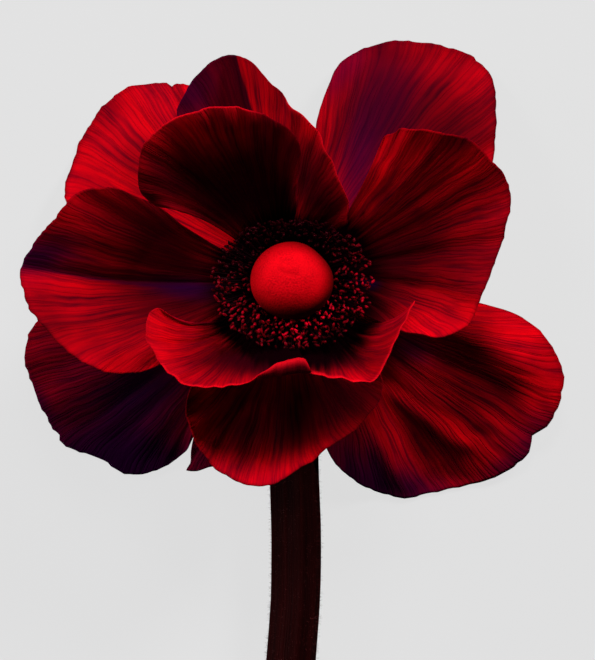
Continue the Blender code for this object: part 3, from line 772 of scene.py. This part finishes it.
def tepalColors(tepal, grid, across, along, turned, chance):
    # the share of each colour that lies over the red: painted highlights on the rim, the dark base with
    # painted shade in the throat, painted shade, plain and violet, and violet streaks
    rim = 0.0 * along
    fade = tepalForm["rimLightFade"]
    # painted highlights on parts of the rim
    for start, end, strength, inner in tepal.get("paintedRimLights", ()):
        here = smoothStep(across, start - fade, start) * (1 - smoothStep(across, end, end + fade))
        rim = np.maximum(rim, strength * here * smoothStep(along, inner, 0.995))
    uncurled = 1 - smoothStep(turned, *tepalForm["curlClears"])
    # the dark base near the axis, partly the tepal's own colour and partly painted shade in the throat
    darkBaseFrom, darkBaseTo = tepal.get("darkBaseAndShade", tepalForm["darkBaseAndShade"][tepal["whorl"]])
    fromAxis = np.hypot(grid[:, :, 0], grid[:, :, 1])
    fromAxis += 0.6 * ripples(across, 0 * along, chance, (9, 17, 29), 0)
    darkBaseAndShade = (1 - smoothStep(fromAxis, darkBaseFrom, darkBaseTo)) * uncurled
    shadeStart, violetShadeStart = 0.0 * along, 0.0 * along
    # painted shade, plain and violet, on one side of a fold
    for place, drift, side, width, shadeDepth, violetShadeDepth in tepal.get("foldSideShades", ()):
        away = side * (across - place - drift * (1 - along) ** 2)
        beside = np.exp(-np.maximum(away, 0) / width) * smoothStep(away, -0.004, 0.004)
        beside *= smoothStep(along, 0.1, 0.35)
        shadeStart += shadeDepth * beside
        violetShadeStart += violetShadeDepth * beside
    # painted shade patches, cleared on the rolled part of a curl
    shade = patchShare(tepal.get("shades", ()), grid, shadeStart) * uncurled
    # painted shade darkens the cut rim
    cutRim = np.maximum(smoothStep(along, 0.98, 1), smoothStep(np.abs(2 * across - 1), 0.975, 1))
    shade = 1 - (1 - shade) * (1 - tepalForm["rimShade"] * cutRim)
    # the rolled side of a curl takes painted shade
    if "curl" in tepal:
        shade = np.maximum(shade, tepal["curl"]["rolledShade"] * smoothStep(turned, *tepalForm["curlShadeAngles"]))
    # painted violet shade patches
    paintedVioletShade = patchShare(tepal.get("paintedVioletShades", ()), grid, violetShadeStart)
    violet = 0.0 * along
    for place, start, end, width, share in tepal.get("violet", ()):
        streak = share * np.exp(-((across - place) / width) ** 2) * smoothStep(along, start - 0.06, start)
        violet += streak * (1 - smoothStep(along, 0.5 * (start + end), end))
    return {"rim": rim, "darkBaseAndShade": darkBaseAndShade, "shade": shade, "paintedVioletShade": paintedVioletShade, "violet": violet}


def makeTepal(name, tepal, seed):
    chance = Random(seed)
    piece, i, j = addSheet(name.replace("tepal", "petal"), tepalForm["columns"], tepalForm["rows"])
    places = np.linspace(0, 1, tepalForm["columns"])
    across, along = np.meshgrid(places, np.linspace(0, 1, tepalForm["rows"]), indexing="ij")
    cut = rimCut(tepal, places, chance) / tepalForm["veinLength"]
    grid = tepalSurface(tepal, places, along * (1 + cut[:, None] * smoothStep(along, 0.7, 1)))
    relief = fineRelief(tepal, across, along, chance)
    grid = grid + surfaceNormals(grid) * relief[:, :, None]
    if tepal["whorl"] == "outer":
        grid[:, :, 2] = aboveTable(grid[:, :, 2])
    turned = 0.0 * along
    if "curl" in tepal:
        grid, turned = curled(grid, places, tepal["curl"])
    setMeshPoints(piece, inFrame(grid[i, j]))
    for value, shares in tepalColors(tepal, grid, across, along, turned, chance).items():
        addPointValue(piece, value, np.clip(shares[i, j], 0, 1))
    if sum(face.normal.z * face.area for face in piece.data.polygons) < 0:
        flipFaces(piece)

    # the blade gets thinner toward the rim, and its back has a colour of its own
    thin = 1 - (1 - tepalForm["rimThickness"]) * smoothStep(along, 0.55, 1)
    thickness = piece.vertex_groups.new(name="thickness")
    for k, weight in enumerate(thin[i, j]):
        thickness.add([k], float(weight), "REPLACE")
    piece.data.materials.append(tepalFace)
    piece.data.materials.append(tepalBack)
    wall = piece.modifiers.new("thickness", "SOLIDIFY")
    wall.thickness = tepalForm["thickness"] * millimetre
    wall.offset = 0
    wall.vertex_group = thickness.name
    wall.material_offset = 1
    applyModifier(piece, wall)
    finishPiece(piece, "root", "tepal", name)


for seed, (name, tepal) in enumerate(tepals.items()):
    makeTepal(name, tepal, 100 + seed)
print("tepals made:", len(tepals))


# Carpel head

head = {
    "radius": 6.9,
    "flatten": 0.94,
    "flatPlace": (0.75, 0.45, 0.06),  # turn, width and share of the dent at the upper right
    "middle": 9.6,
    "rise": 6.2,
    "drop": 3.4,
    "fullness": 0.9,
    "carpels": 900,
    "lowestCarpel": -0.75,
    "carpelRadius": 0.34,
    "carpelHeight": 0.012,
    "crease": [(-2.0, 1.8), (-1.2, 1.3), (-0.3, 1.15), (0.6, 1.0)],
    "creaseDepth": 0.14,
    "creaseWidth": 0.5,
    "footRadius": 2.2,
    "footLength": 3.2,
    "footMiddle": 6.7,
    "red": (0.46, 0.0001, 0.003),
    "deepRed": (0.27, 0.0, 0.002),
    # painted shade on the dome
    "paintedDomeShade": (0.015, 0.0, 0.0),
    # painted shade darkens the dome toward its rim, from and to these distances from its middle
    "domeRimShade": (4.2, 7.4),
    "domeRimShadeShare": 0.75,
    "domeRimShadeSlope": 0.06,  # what each millimetre to the right adds to that share
    "domeLowerShade": (0.55, 0.5, 6.5),  # painted shade below the middle: share, and the distances below the middle where it grows
    "domeCreaseShade": 0.16,
}


def makeHeadMaterial():
    material, tree = newMaterial("velvet head")
    grain = objectNoise(tree, (-3, 0), 3200.0, 3.0)
    patch = objectNoise(tree, (-3, -2), 420.0, 2.0)
    share = mathNode(
        tree, "MULTIPLY", (-1, 0), spread(tree, (-2, 0), grain, 0.35, 0.7),
        spread(tree, (-2, -2), patch, 0.2, 0.8),
    )
    color = mixColors(tree, (0, 0), share, head["red"], head["deepRed"])
    # painted shade darkens the dome
    color = mixColors(tree, (1, 0), pointValue(tree, (0, -2), "paintedDomeShade"), color, head["paintedDomeShade"])
    showSkin(
        tree, (3, 0), Base_Color=color, Normal=bumpFrom(tree, (2, -2), grain, 0.12), Roughness=0.75,
        Specular_IOR_Level=0.015, Sheen_Weight=0.02, Sheen_Roughness=0.5, Sheen_Tint=(1.0, 0.0, 0.02),
    )
    return material


def makeHead():
    bpy.ops.mesh.primitive_uv_sphere_add(segments=144, ring_count=110, radius=1, calc_uvs=True)
    piece = renamed("carpel_dome")
    ball = meshPoints(piece)
    tilt = np.arcsin(np.clip(ball[:, 2], -1, 1))
    turn = np.arctan2(ball[:, 1], ball[:, 0])
    high = np.where(tilt > 0, head["rise"], head["drop"])
    place, width, share = head["flatPlace"]
    radius = head["radius"] * np.cos(tilt) ** head["fullness"]
    radius *= 1 - share * np.exp(-(((turn - place) / width) ** 2))
    points = np.stack([
        radius * np.cos(turn),
        radius * np.sin(turn) * head["flatten"],
        head["middle"] + high * ball[:, 2],
    ], axis=1)

    # tiny carpels in a golden-angle spiral raise the surface, and a crease sinks it
    k = np.arange(head["carpels"])
    seat = np.arcsin(1 - (1 - head["lowestCarpel"]) * (k + 0.5) / head["carpels"])
    around = goldenAngle * k
    seats = np.stack([np.cos(seat) * np.cos(around), np.cos(seat) * np.sin(around), np.sin(seat)], axis=1)
    closest = np.arccos(np.clip((ball @ seats.T).max(axis=1), -1, 1))
    unitRadius = head["carpelRadius"] / head["radius"]
    raised = head["carpelHeight"] * np.exp(-((closest / unitRadius) ** 2))
    creaseLine = curveThrough(head["crease"], np.linspace(0, 1, 30))
    away = np.linalg.norm(points[:, None, :2] - creaseLine[None], axis=2).min(axis=1)
    nearCrease = np.exp(-((away / head["creaseWidth"]) ** 2))
    sunk = head["creaseDepth"] * nearCrease * (tilt > 0.5)
    points += ball * (raised - sunk)[:, None]
    setMeshPoints(piece, inFrame(points))

    # painted shade: darker toward the dome's rim, more so to the right, below its middle and in the crease
    fromMiddle = np.hypot(points[:, 0], points[:, 1] / head["flatten"])
    share = np.clip(head["domeRimShadeShare"] + head["domeRimShadeSlope"] * points[:, 0], 0, 1)
    paintedDomeShade = share * smoothStep(fromMiddle, *head["domeRimShade"]) + head["domeCreaseShade"] * nearCrease
    share, near, far = head["domeLowerShade"]
    paintedDomeShade += share * smoothStep(-points[:, 1], near, far)
    addPointValue(piece, "paintedDomeShade", np.clip(paintedDomeShade, 0, 1))
    piece.data.materials.append(makeHeadMaterial())

    # a short foot carries the head on the receptacle
    bpy.ops.mesh.primitive_cylinder_add(
        vertices=48, radius=head["footRadius"] * millimetre, depth=head["footLength"] * millimetre,
    )
    foot = bpy.context.object
    setMeshPoints(foot, meshPoints(foot) + inFrame((0, 0, head["footMiddle"])))
    foot.data.materials.append(piece.data.materials[0])
    piece.select_set(True)
    bpy.context.view_layer.objects.active = piece
    bpy.ops.object.join()
    finishPiece(piece, "root", "carpel_head", "carpel_head")


makeHead()
print("carpel head made")


# Stamens

stamenForm = {
    "count": 700,
    "seed": 5,
    # distances from the axis at which the ring starts and ends, at its sides, above and below
    "nearest": 7.0,
    "nearestDown": 6.4,
    "furthest": 13.3,
    "furthestUp": 10.1,
    "furthestDown": 11.5,
    "rootReach": 3.9,
    "rootHeight": 5.4,
    "low": 8.7,
    "high": 10.5,
    "raisedDown": 1.8,  # how much higher the innermost stand below the head
    "turnJitter": 0.12,
    "reachJitter": 0.3,
    "heightJitter": 0.9,
    "antherLength": 1.0,
    "lengthShares": (0.75, 1.15),
    "antherWidth": 0.5,
    "widthShares": (0.85, 1.15),
    "antherDepth": 0.8,
    "groove": 0.28,
    "grooveWidth": 0.12,
    "filamentWidth": 0.16,
    "bow": 2.6,
    "paintedLightFrom": -78,  # azimuth of the side where the anthers are painted lit
    "paintedLightRange": (-0.6, 0.45),  # from no painted light to full, as the cosine of the turn away from it
}
stamenColors = {
    "anther": (0.009, 0.0001, 0.0008),
    # painted light on the lit anthers
    "antherPaintedLight": (0.60, 0.0, 0.012),
    "filament": (0.002, 0.0, 0.0005),
    "filamentLight": (0.006, 0.0001, 0.001),
}


def makeAntherMaterial():
    material, tree = newMaterial("anther")
    bunch = spread(tree, (-2, 0), objectNoise(tree, (-3, 0), 900.0, 1.0), 0.35, 0.7)
    # the anthers' painted light, broken up in bunches
    share = mathNode(tree, "MULTIPLY", (-1, 0), bunch, pointValue(tree, (-2, -2), "paintedLight"))
    color = mixColors(tree, (0, 0), share, stamenColors["anther"], stamenColors["antherPaintedLight"])
    normal = bumpFrom(tree, (0, -2), objectNoise(tree, (-1, -2), 1500.0, 2.0), 0.08)
    showSkin(
        tree, (1, 0), Base_Color=color, Normal=normal, Roughness=0.3, Specular_IOR_Level=0.09,
        Specular_Tint=(1.0, 0.08, 0.16),
    )
    return material


def makeFilamentMaterial():
    material, tree = newMaterial("filament")
    grain = objectNoise(tree, (-2, 0), 700.0, 2.0)
    color = mixColors(tree, (-1, 0), grain, stamenColors["filament"], stamenColors["filamentLight"])
    showSkin(tree, (0, 0), Base_Color=color, Roughness=0.6, Specular_IOR_Level=0.02)
    return material


def makeAntherModel():
    # an oval pod with a groove down its length
    bpy.ops.mesh.primitive_uv_sphere_add(segments=8, ring_count=6, radius=0.5)
    anther = bpy.context.object
    pod = meshPoints(anther)
    groove = np.exp(-((pod[:, 0] / stamenForm["grooveWidth"]) ** 2)) * (pod[:, 1] > 0)
    pod[:, 1] *= (1 - stamenForm["groove"] * groove) * stamenForm["antherDepth"]
    setMeshPoints(anther, pod)
    return anther


def makeFilamentModel():
    # a thin rod that bows a little
    bpy.ops.mesh.primitive_cylinder_add(vertices=5, radius=0.5, depth=1, end_fill_type="NOTHING")
    filament = bpy.context.object
    bpy.ops.object.mode_set(mode="EDIT")
    for height in (-0.17, 0.17):
        bpy.ops.mesh.select_all(action="SELECT")
        bpy.ops.mesh.bisect(plane_co=(0, 0, height), plane_no=(0, 0, 1))
    bpy.ops.object.mode_set(mode="OBJECT")
    rod = meshPoints(filament)
    rod[:, 2] += 0.5
    rod[:, 1] -= stamenForm["bow"] * rod[:, 2] * (1 - rod[:, 2])
    setMeshPoints(filament, rod)
    return filament


def stamenAt(k, chance):
    # the azimuth, root and tip of one filament, and how much painted light its anther takes
    share = (k + 0.5) / stamenForm["count"]
    angle = k * goldenAngle + chance.uniform(-stamenForm["turnJitter"], stamenForm["turnJitter"])
    down = -sin(angle)
    end = stamenForm["furthestDown"] if down >= 0 else stamenForm["furthestUp"]
    furthest = stamenForm["furthest"] + (end - stamenForm["furthest"]) * down**2
    nearest = stamenForm["nearestDown"] if down > 0.4 else stamenForm["nearest"]
    reach = nearest + (furthest - nearest) * share**0.75
    height = stamenForm["low"] + (stamenForm["high"] - stamenForm["low"]) * share
    height += chance.uniform(-stamenForm["heightJitter"], stamenForm["heightJitter"])
    height += stamenForm["raisedDown"] * smoothStep(down, 0.2, 0.8) * (1 - share)
    outward = Vector((cos(angle), sin(angle), 0))
    root = outward * stamenForm["rootReach"] + Vector((0, 0, stamenForm["rootHeight"]))
    jitter = chance.uniform(-stamenForm["reachJitter"], stamenForm["reachJitter"])
    tip = outward * (reach + jitter) + Vector((0, 0, height))
    # painted light: anthers toward one side are painted lit, less so far out below the head, and all but
    # the innermost ones below the head keep only half
    paintedLight = smoothStep(cos(angle - radians(stamenForm["paintedLightFrom"])), *stamenForm["paintedLightRange"])
    paintedLight *= 1 - 0.75 * smoothStep(reach, 9.3, 11.3) * smoothStep(down, 0.3, 0.8)
    paintedLight *= 0.5 + 0.5 * np.exp(-(((reach - 7) / 1.5) ** 2)) * smoothStep(down, 0.3, 0.9)
    return angle, root, tip, paintedLight


def makeStamens():
    chance = Random(stamenForm["seed"])
    anther, filament = makeAntherModel(), makeFilamentModel()
    podPoints = len(anther.data.vertices)
    antherPlaces, filamentPlaces, paintedLightShares = [], [], []
    for k in range(stamenForm["count"]):
        angle, root, tip, paintedLight = stamenAt(k, chance)
        paintedLightShares.append(paintedLight)
        aim = (tip - root).normalized()
        lean = Vector((chance.uniform(-1, 1), chance.uniform(-1, 1), chance.uniform(-0.1, 0.9)))
        podAim = (aim * 0.35 + lean).normalized()
        start = Vector(inFrame(root))
        end = Vector(inFrame(tip))
        width = stamenForm["filamentWidth"] * millimetre
        filamentPlaces.append(pointing(start, aim, (width, width, (end - start).length), angle))
        width = stamenForm["antherWidth"] * millimetre * chance.uniform(*stamenForm["widthShares"])
        length = stamenForm["antherLength"] * millimetre * chance.uniform(*stamenForm["lengthShares"])
        turn = chance.uniform(0, 2 * pi)
        antherPlaces.append(pointing(end, podAim, (width, width, length), turn))
    anthers = scattered(anther, antherPlaces, "anthers")
    addPointValue(anthers, "paintedLight", np.repeat(paintedLightShares, podPoints))
    anthers.data.materials.append(makeAntherMaterial())
    finishPiece(anthers, "root", "stamens", "stamens")
    filaments = scattered(filament, filamentPlaces, "filaments")
    filaments.data.materials.append(makeFilamentMaterial())
    finishPiece(filaments, "root", "stamens")


makeStamens()
print("stamens made:", stamenForm["count"])


# Stem

stemForm = {
    "radius": 4.1,
    "press": 0.18,  # how far the table flattens the stem's underside
    "receptacleRadius": 4.3,
    "receptacleTop": 4.7,
    "receptacleLength": 8.2,
    "neckRadius": 3.4,
    "neckStart": 11,
    "fullStart": 32,
    "sides": 72,
    "rings": 260,
    "topShares": (0.15, 0.6, 0.97),  # shares of the radius of the rings on the upper end
    # share of the radius and depth of each ring on the cut face, from its rim inward
    "cutProfile": (
        (0.985, 0.1), (0.93, 0.05), (0.8, -0.12), (0.6, -0.2), (0.4, -0.35), (0.2, -0.42), (0.06, -0.42),
    ),
    "skinEnd": 0.97,  # share of the radius inside which the cut shows the pith
    "ridges": 9,
    "ridgeHeight": 0.14,
    "ridgesFrom": (9, 14),
    "grain": 0.03,  # height of the fine waves on the skin
    "veins": 36.0,
    "streaks": 90.0,
    "bump": 0.1,
    "hairs": 4200,
    "hairsFrom": 9,
    "hairLength": 0.5,
    "hairShares": (0.5, 1.5),
    "hairWidth": 0.045,
    "hairSunk": 0.03,
    "hairLean": 0.5,
    "hairClearance": 0.5,  # no hairs this near the table
    "seed": 21,
}
lying = stemForm["radius"] - stemForm["press"] - restDepth
stemLine = [
    (0, 0, stemForm["receptacleTop"]), (0, 0, 1), (0, -0.1, -2.6), (0.05, -1.6, -6), (0.1, -5.6, -9.2),
    (0.15, -12, -11.3), (0.2, -20, -12.2), (0.2, -28, lying), (0.6, -43, lying), (0.5, -53, lying),
    (-0.3, -64, lying), (-1.7, -80, lying), (-3, -104, lying),
]
stemColors = {
    "skin": (0.003, 0.0002, 0.0002),
    "ridge": (0.010, 0.0005, 0.0005),
    "pith": (0.20, 0.10, 0.05),
    "cutRim": (0.07, 0.02, 0.012),
    "hair": (0.12, 0.012, 0.012),
}


def makeStemMaterial():
    material, tree = newMaterial("stem skin")
    uv = addNode(tree, "ShaderNodeUVMap", (-6, 0), uv_map="UVMap").outputs[0]
    veins = addNode(
        tree, "ShaderNodeGroup", (-5, 0), node_tree=veinGroup, UV=uv, Veins=stemForm["veins"],
        Streaks=stemForm["streaks"],
    ).outputs
    spots = objectNoise(tree, (-5, -2), 600.0, 3.0)
    ridge = mathNode(tree, "MULTIPLY", (-3, -1), pointValue(tree, (-4, -1), "ridge"), 0.5)
    share = mathNode(tree, "MULTIPLY", (-3, 0), veins["Streak Mask"], spots)
    share = mathNode(tree, "ADD", (-2, 0), share, ridge, clamp=True)
    color = mixColors(tree, (-1, 0), share, stemColors["skin"], stemColors["ridge"])
    spotted = spread(tree, (-2, -3), spots, 0.3, 0.7)
    pith = mixColors(tree, (-1, -3), spotted, stemColors["pith"], stemColors["cutRim"])
    color = mixColors(tree, (0, 0), pointValue(tree, (-1, -5), "cut"), color, pith)
    normal = bumpFrom(tree, (0, -2), veins["Height"], stemForm["bump"])
    showSkin(
        tree, (1, 0), Base_Color=color, Normal=normal, Roughness=0.6, Specular_IOR_Level=0.05,
        Specular_Tint=(1.0, 0.3, 0.3),
    )
    return material


def makeHairMaterial():
    material, tree = newMaterial("stem hair")
    grain = objectNoise(tree, (-2, 0), 250.0, 2.0)
    color = mixColors(tree, (-1, 0), grain, stemColors["hair"], stemColors["ridge"])
    showSkin(tree, (0, 0), Base_Color=color, Roughness=0.5, Specular_IOR_Level=0.3)
    return material


def stemRadiusAt(distance):
    stations = [stemForm[name] for name in ("receptacleLength", "neckStart", "fullStart")]
    radii = [stemForm[name] for name in ("receptacleRadius", "neckRadius", "radius")]
    return np.interp(distance, stations, radii)


def stemCourse(places):
    # middle line, its directions and the distance along it
    line = curveThrough(stemLine, places)
    directions = np.gradient(line, places, axis=0)
    directions /= np.linalg.norm(directions, axis=1, keepdims=True)
    distances = np.concatenate([[0], np.cumsum(np.linalg.norm(np.diff(line, axis=0), axis=1))])
    return line, directions, distances


def crossAxes(directions):
    # two directions across the stem for each direction along it
    second = np.cross(directions, (1, 0, 0))
    second /= np.linalg.norm(second, axis=1, keepdims=True)
    return np.cross(second, directions), second


def stemSurface(places, turns, chance):
    # points on the skin and how far each is up a ridge, by place along the stem and turn round it
    line, directions, distances = stemCourse(places)
    first, second = crossAxes(directions)
    around = np.cos(turns)[None, :, None] * first[:, None] + np.sin(turns)[None, :, None] * second[:, None]
    ridge = np.cos(stemForm["ridges"] * turns) * smoothStep(distances, *stemForm["ridgesFrom"])[:, None]
    radius = stemRadiusAt(distances)[:, None] + stemForm["ridgeHeight"] * ridge
    grain = ripples(turns[None, :] / pi, places[:, None] * 3, chance, (11, 17, 25), 3)
    radius = radius + stemForm["grain"] * grain
    points = line[:, None] + radius[:, :, None] * around
    points[:, :, 2] = np.maximum(points[:, :, 2], -restDepth)
    return points, ridge


def makeStem():
    chance = Random(stemForm["seed"])
    sides = stemForm["sides"]
    places = np.linspace(0, 1, stemForm["rings"]) ** 1.2
    points, ridge = stemSurface(places, np.linspace(0, 2 * pi, sides + 1), chance)
    points[:, -1] = points[:, 0]

    # more rings close in on the middle at both ends, and dish the cut one
    line, directions = stemCourse(places)[:2]
    start = [line[0] + share * (points[0] - line[0]) for share in stemForm["topShares"]]
    end = [
        line[-1] + share * (points[-1] - line[-1]) + sunk * directions[-1]
        for share, sunk in stemForm["cutProfile"]
    ]
    points = np.concatenate([start, points, end])
    blank = np.zeros((len(start), sides + 1))
    cut = [[float(share < stemForm["skinEnd"])] for share, sunk in stemForm["cutProfile"]]
    cut = np.repeat(cut, sides + 1, axis=1)
    cutValues = np.concatenate([blank, np.zeros_like(ridge), cut])
    ridgeValues = np.concatenate([blank, ridge, np.zeros_like(cut)])
    piece, i, j = addSheet("stem_skin", sides + 1, len(points))
    setMeshPoints(piece, inFrame(points[j, i]))
    addPointValue(piece, "ridge", np.clip(0.5 + 0.5 * ridgeValues[j, i], 0, 1))
    addPointValue(piece, "cut", cutValues[j, i])

    # close the seam and fill the small holes that are left at both ends
    bpy.context.view_layer.objects.active = piece
    bpy.ops.object.mode_set(mode="EDIT")
    bpy.ops.mesh.select_all(action="SELECT")
    bpy.ops.mesh.remove_doubles(threshold=1e-6)
    bpy.ops.mesh.select_all(action="DESELECT")
    bpy.ops.mesh.select_mode(type="EDGE")
    bpy.ops.mesh.select_non_manifold()
    bpy.ops.mesh.fill_holes(sides=0)
    bpy.ops.mesh.select_mode(type="FACE")
    bpy.ops.mesh.select_all(action="SELECT")
    bpy.ops.mesh.normals_make_consistent(inside=False)
    bpy.ops.object.mode_set(mode="OBJECT")
    piece.data.materials.append(makeStemMaterial())
    finishPiece(piece, "root", "stem", "stem")
    piece.data.set_sharp_from_angle(angle=radians(55))
    makeHairs(chance)


def makeHairs(chance):
    bpy.ops.mesh.primitive_cone_add(vertices=3, radius1=0.5, radius2=0.08, depth=1, end_fill_type="NOTHING")
    hair = bpy.context.object
    strand = meshPoints(hair)
    strand[:, 2] += 0.5
    setMeshPoints(hair, strand)
    line, directions, distances = stemCourse(np.linspace(0, 1, 400))
    first, second = crossAxes(directions)
    hairPlaces = []
    while len(hairPlaces) < stemForm["hairs"]:
        k = chance.randrange(len(line))
        turn = chance.uniform(0, 2 * pi)
        if distances[k] < stemForm["hairsFrom"]:
            continue
        out = cos(turn) * first[k] + sin(turn) * second[k]
        ridge = stemForm["ridgeHeight"] * cos(stemForm["ridges"] * turn)
        foot = line[k] + (stemRadiusAt(distances[k]) + ridge - stemForm["hairSunk"]) * out
        if foot[2] < -restDepth + stemForm["hairClearance"]:
            continue
        lean = Vector([chance.uniform(-1, 1) for axis in range(3)])
        aim = Vector(out) + stemForm["hairLean"] * lean
        width = stemForm["hairWidth"] * millimetre
        length = stemForm["hairLength"] * millimetre * chance.uniform(*stemForm["hairShares"])
        hairPlaces.append(pointing(Vector(inFrame(foot)), aim, (width, width, length), turn))
    hairs = scattered(hair, hairPlaces, "stem_hairs")
    hairs.data.materials.append(makeHairMaterial())
    finishPiece(hairs, "root", "stem")


makeStem()
print("stem made")


# Floor, camera and light

studio = {
    "viewDistance": 2000.0,
    "viewMiddle": (0.92, -8.17),
    "viewHeight": 110.0,
    "sensor": 36.0,
    "pale": 0.738,  # the floor's brightness to the camera
    "shadowShare": 0.05,  # how much of the floor's look is lit by the lamps
    "ambient": (0.004, 0.003, 0.008),
    "mattFloor": (0.7, 0.7, 0.7),
    "darkFloor": (0.03, 0.03, 0.03),  # what all rays but the camera's meet
    "lampAim": 8.0,
    "lampDistance": 1.3,  # metres, as the lamps' sizes
    # azimuth, elevation, size, power and colour of each softbox
    "lamps": {
        "upper left": (142, 22, 0.35, 15.0, (1, 1, 1)),
        "top": (88, 47, 0.3, 12.0, (1, 1, 1)),
        "upper right": (48, 32, 0.3, 22.0, (1, 1, 1)),
        "left": (178, 12, 0.4, 6.0, (1, 1, 1)),
        "violet fill": (235, 45, 0.8, 1.9, (0.3, 0.05, 1.0)),
    },
}


def addCamera():
    distance = studio["viewDistance"]
    bpy.ops.object.camera_add(location=inFrame((*studio["viewMiddle"], distance)), rotation=(0, 0, 0))
    camera = bpy.context.object
    camera.data.sensor_width = studio["sensor"]
    camera.data.lens = studio["sensor"] * distance / studio["viewHeight"]
    camera.data.clip_end = 100
    bpy.context.scene.camera = camera


def addSoftboxes():
    for name, (azimuth, elevation, size, power, color) in studio["lamps"].items():
        turn, rise = radians(azimuth), radians(elevation)
        direction = Vector((cos(rise) * cos(turn), cos(rise) * sin(turn), sin(rise)))
        place = Vector(inFrame((0, 0, studio["lampAim"]))) + direction * studio["lampDistance"]
        bpy.ops.object.light_add(type="AREA", location=place)
        lamp = bpy.context.object
        lamp.name = name
        lamp.rotation_euler = direction.to_track_quat("Z", "Y").to_euler()
        lamp.data.size = size
        lamp.data.energy = power
        lamp.data.color = color


def addFloor():
    bpy.ops.mesh.primitive_plane_add(size=6, location=(0, 0, -0.0002))
    floor = renamed("floor")
    material, tree = newMaterial("pale floor")
    glow = addNode(tree, "ShaderNodeEmission", (-1, 1), Color=(studio["pale"],) * 3)
    matt = addNode(tree, "ShaderNodeBsdfDiffuse", (-1, 0), Color=studio["mattFloor"])
    dark = addNode(tree, "ShaderNodeBsdfDiffuse", (-1, -1), Color=studio["darkFloor"])
    shown = mixShaders(tree, (0, 1), studio["shadowShare"], glow.outputs[0], matt.outputs[0])
    cameraRay = addNode(tree, "ShaderNodeLightPath", (0, 3)).outputs["Is Camera Ray"]
    showSurface(tree, (2, 0), mixShaders(tree, (1, 0), cameraRay, dark.outputs[0], shown))
    floor.data.materials.append(material)


def setWorld():
    world = bpy.context.scene.world or bpy.data.worlds.new("studio")
    bpy.context.scene.world = world
    world.use_nodes = True
    tree = world.node_tree
    tree.nodes.clear()
    cameraRay = addNode(tree, "ShaderNodeLightPath", (-2, 1)).outputs["Is Camera Ray"]
    seen = mixColors(tree, (-1, 0), cameraRay, studio["ambient"], (studio["pale"],) * 3)
    back = addNode(tree, "ShaderNodeBackground", (0, 0), Color=seen)
    addNode(tree, "ShaderNodeOutputWorld", (1, 0), Surface=back.outputs[0])


addCamera()
addFloor()
addSoftboxes()
setWorld()
bpy.context.scene.view_settings.view_transform = "Standard"
print("studio set")
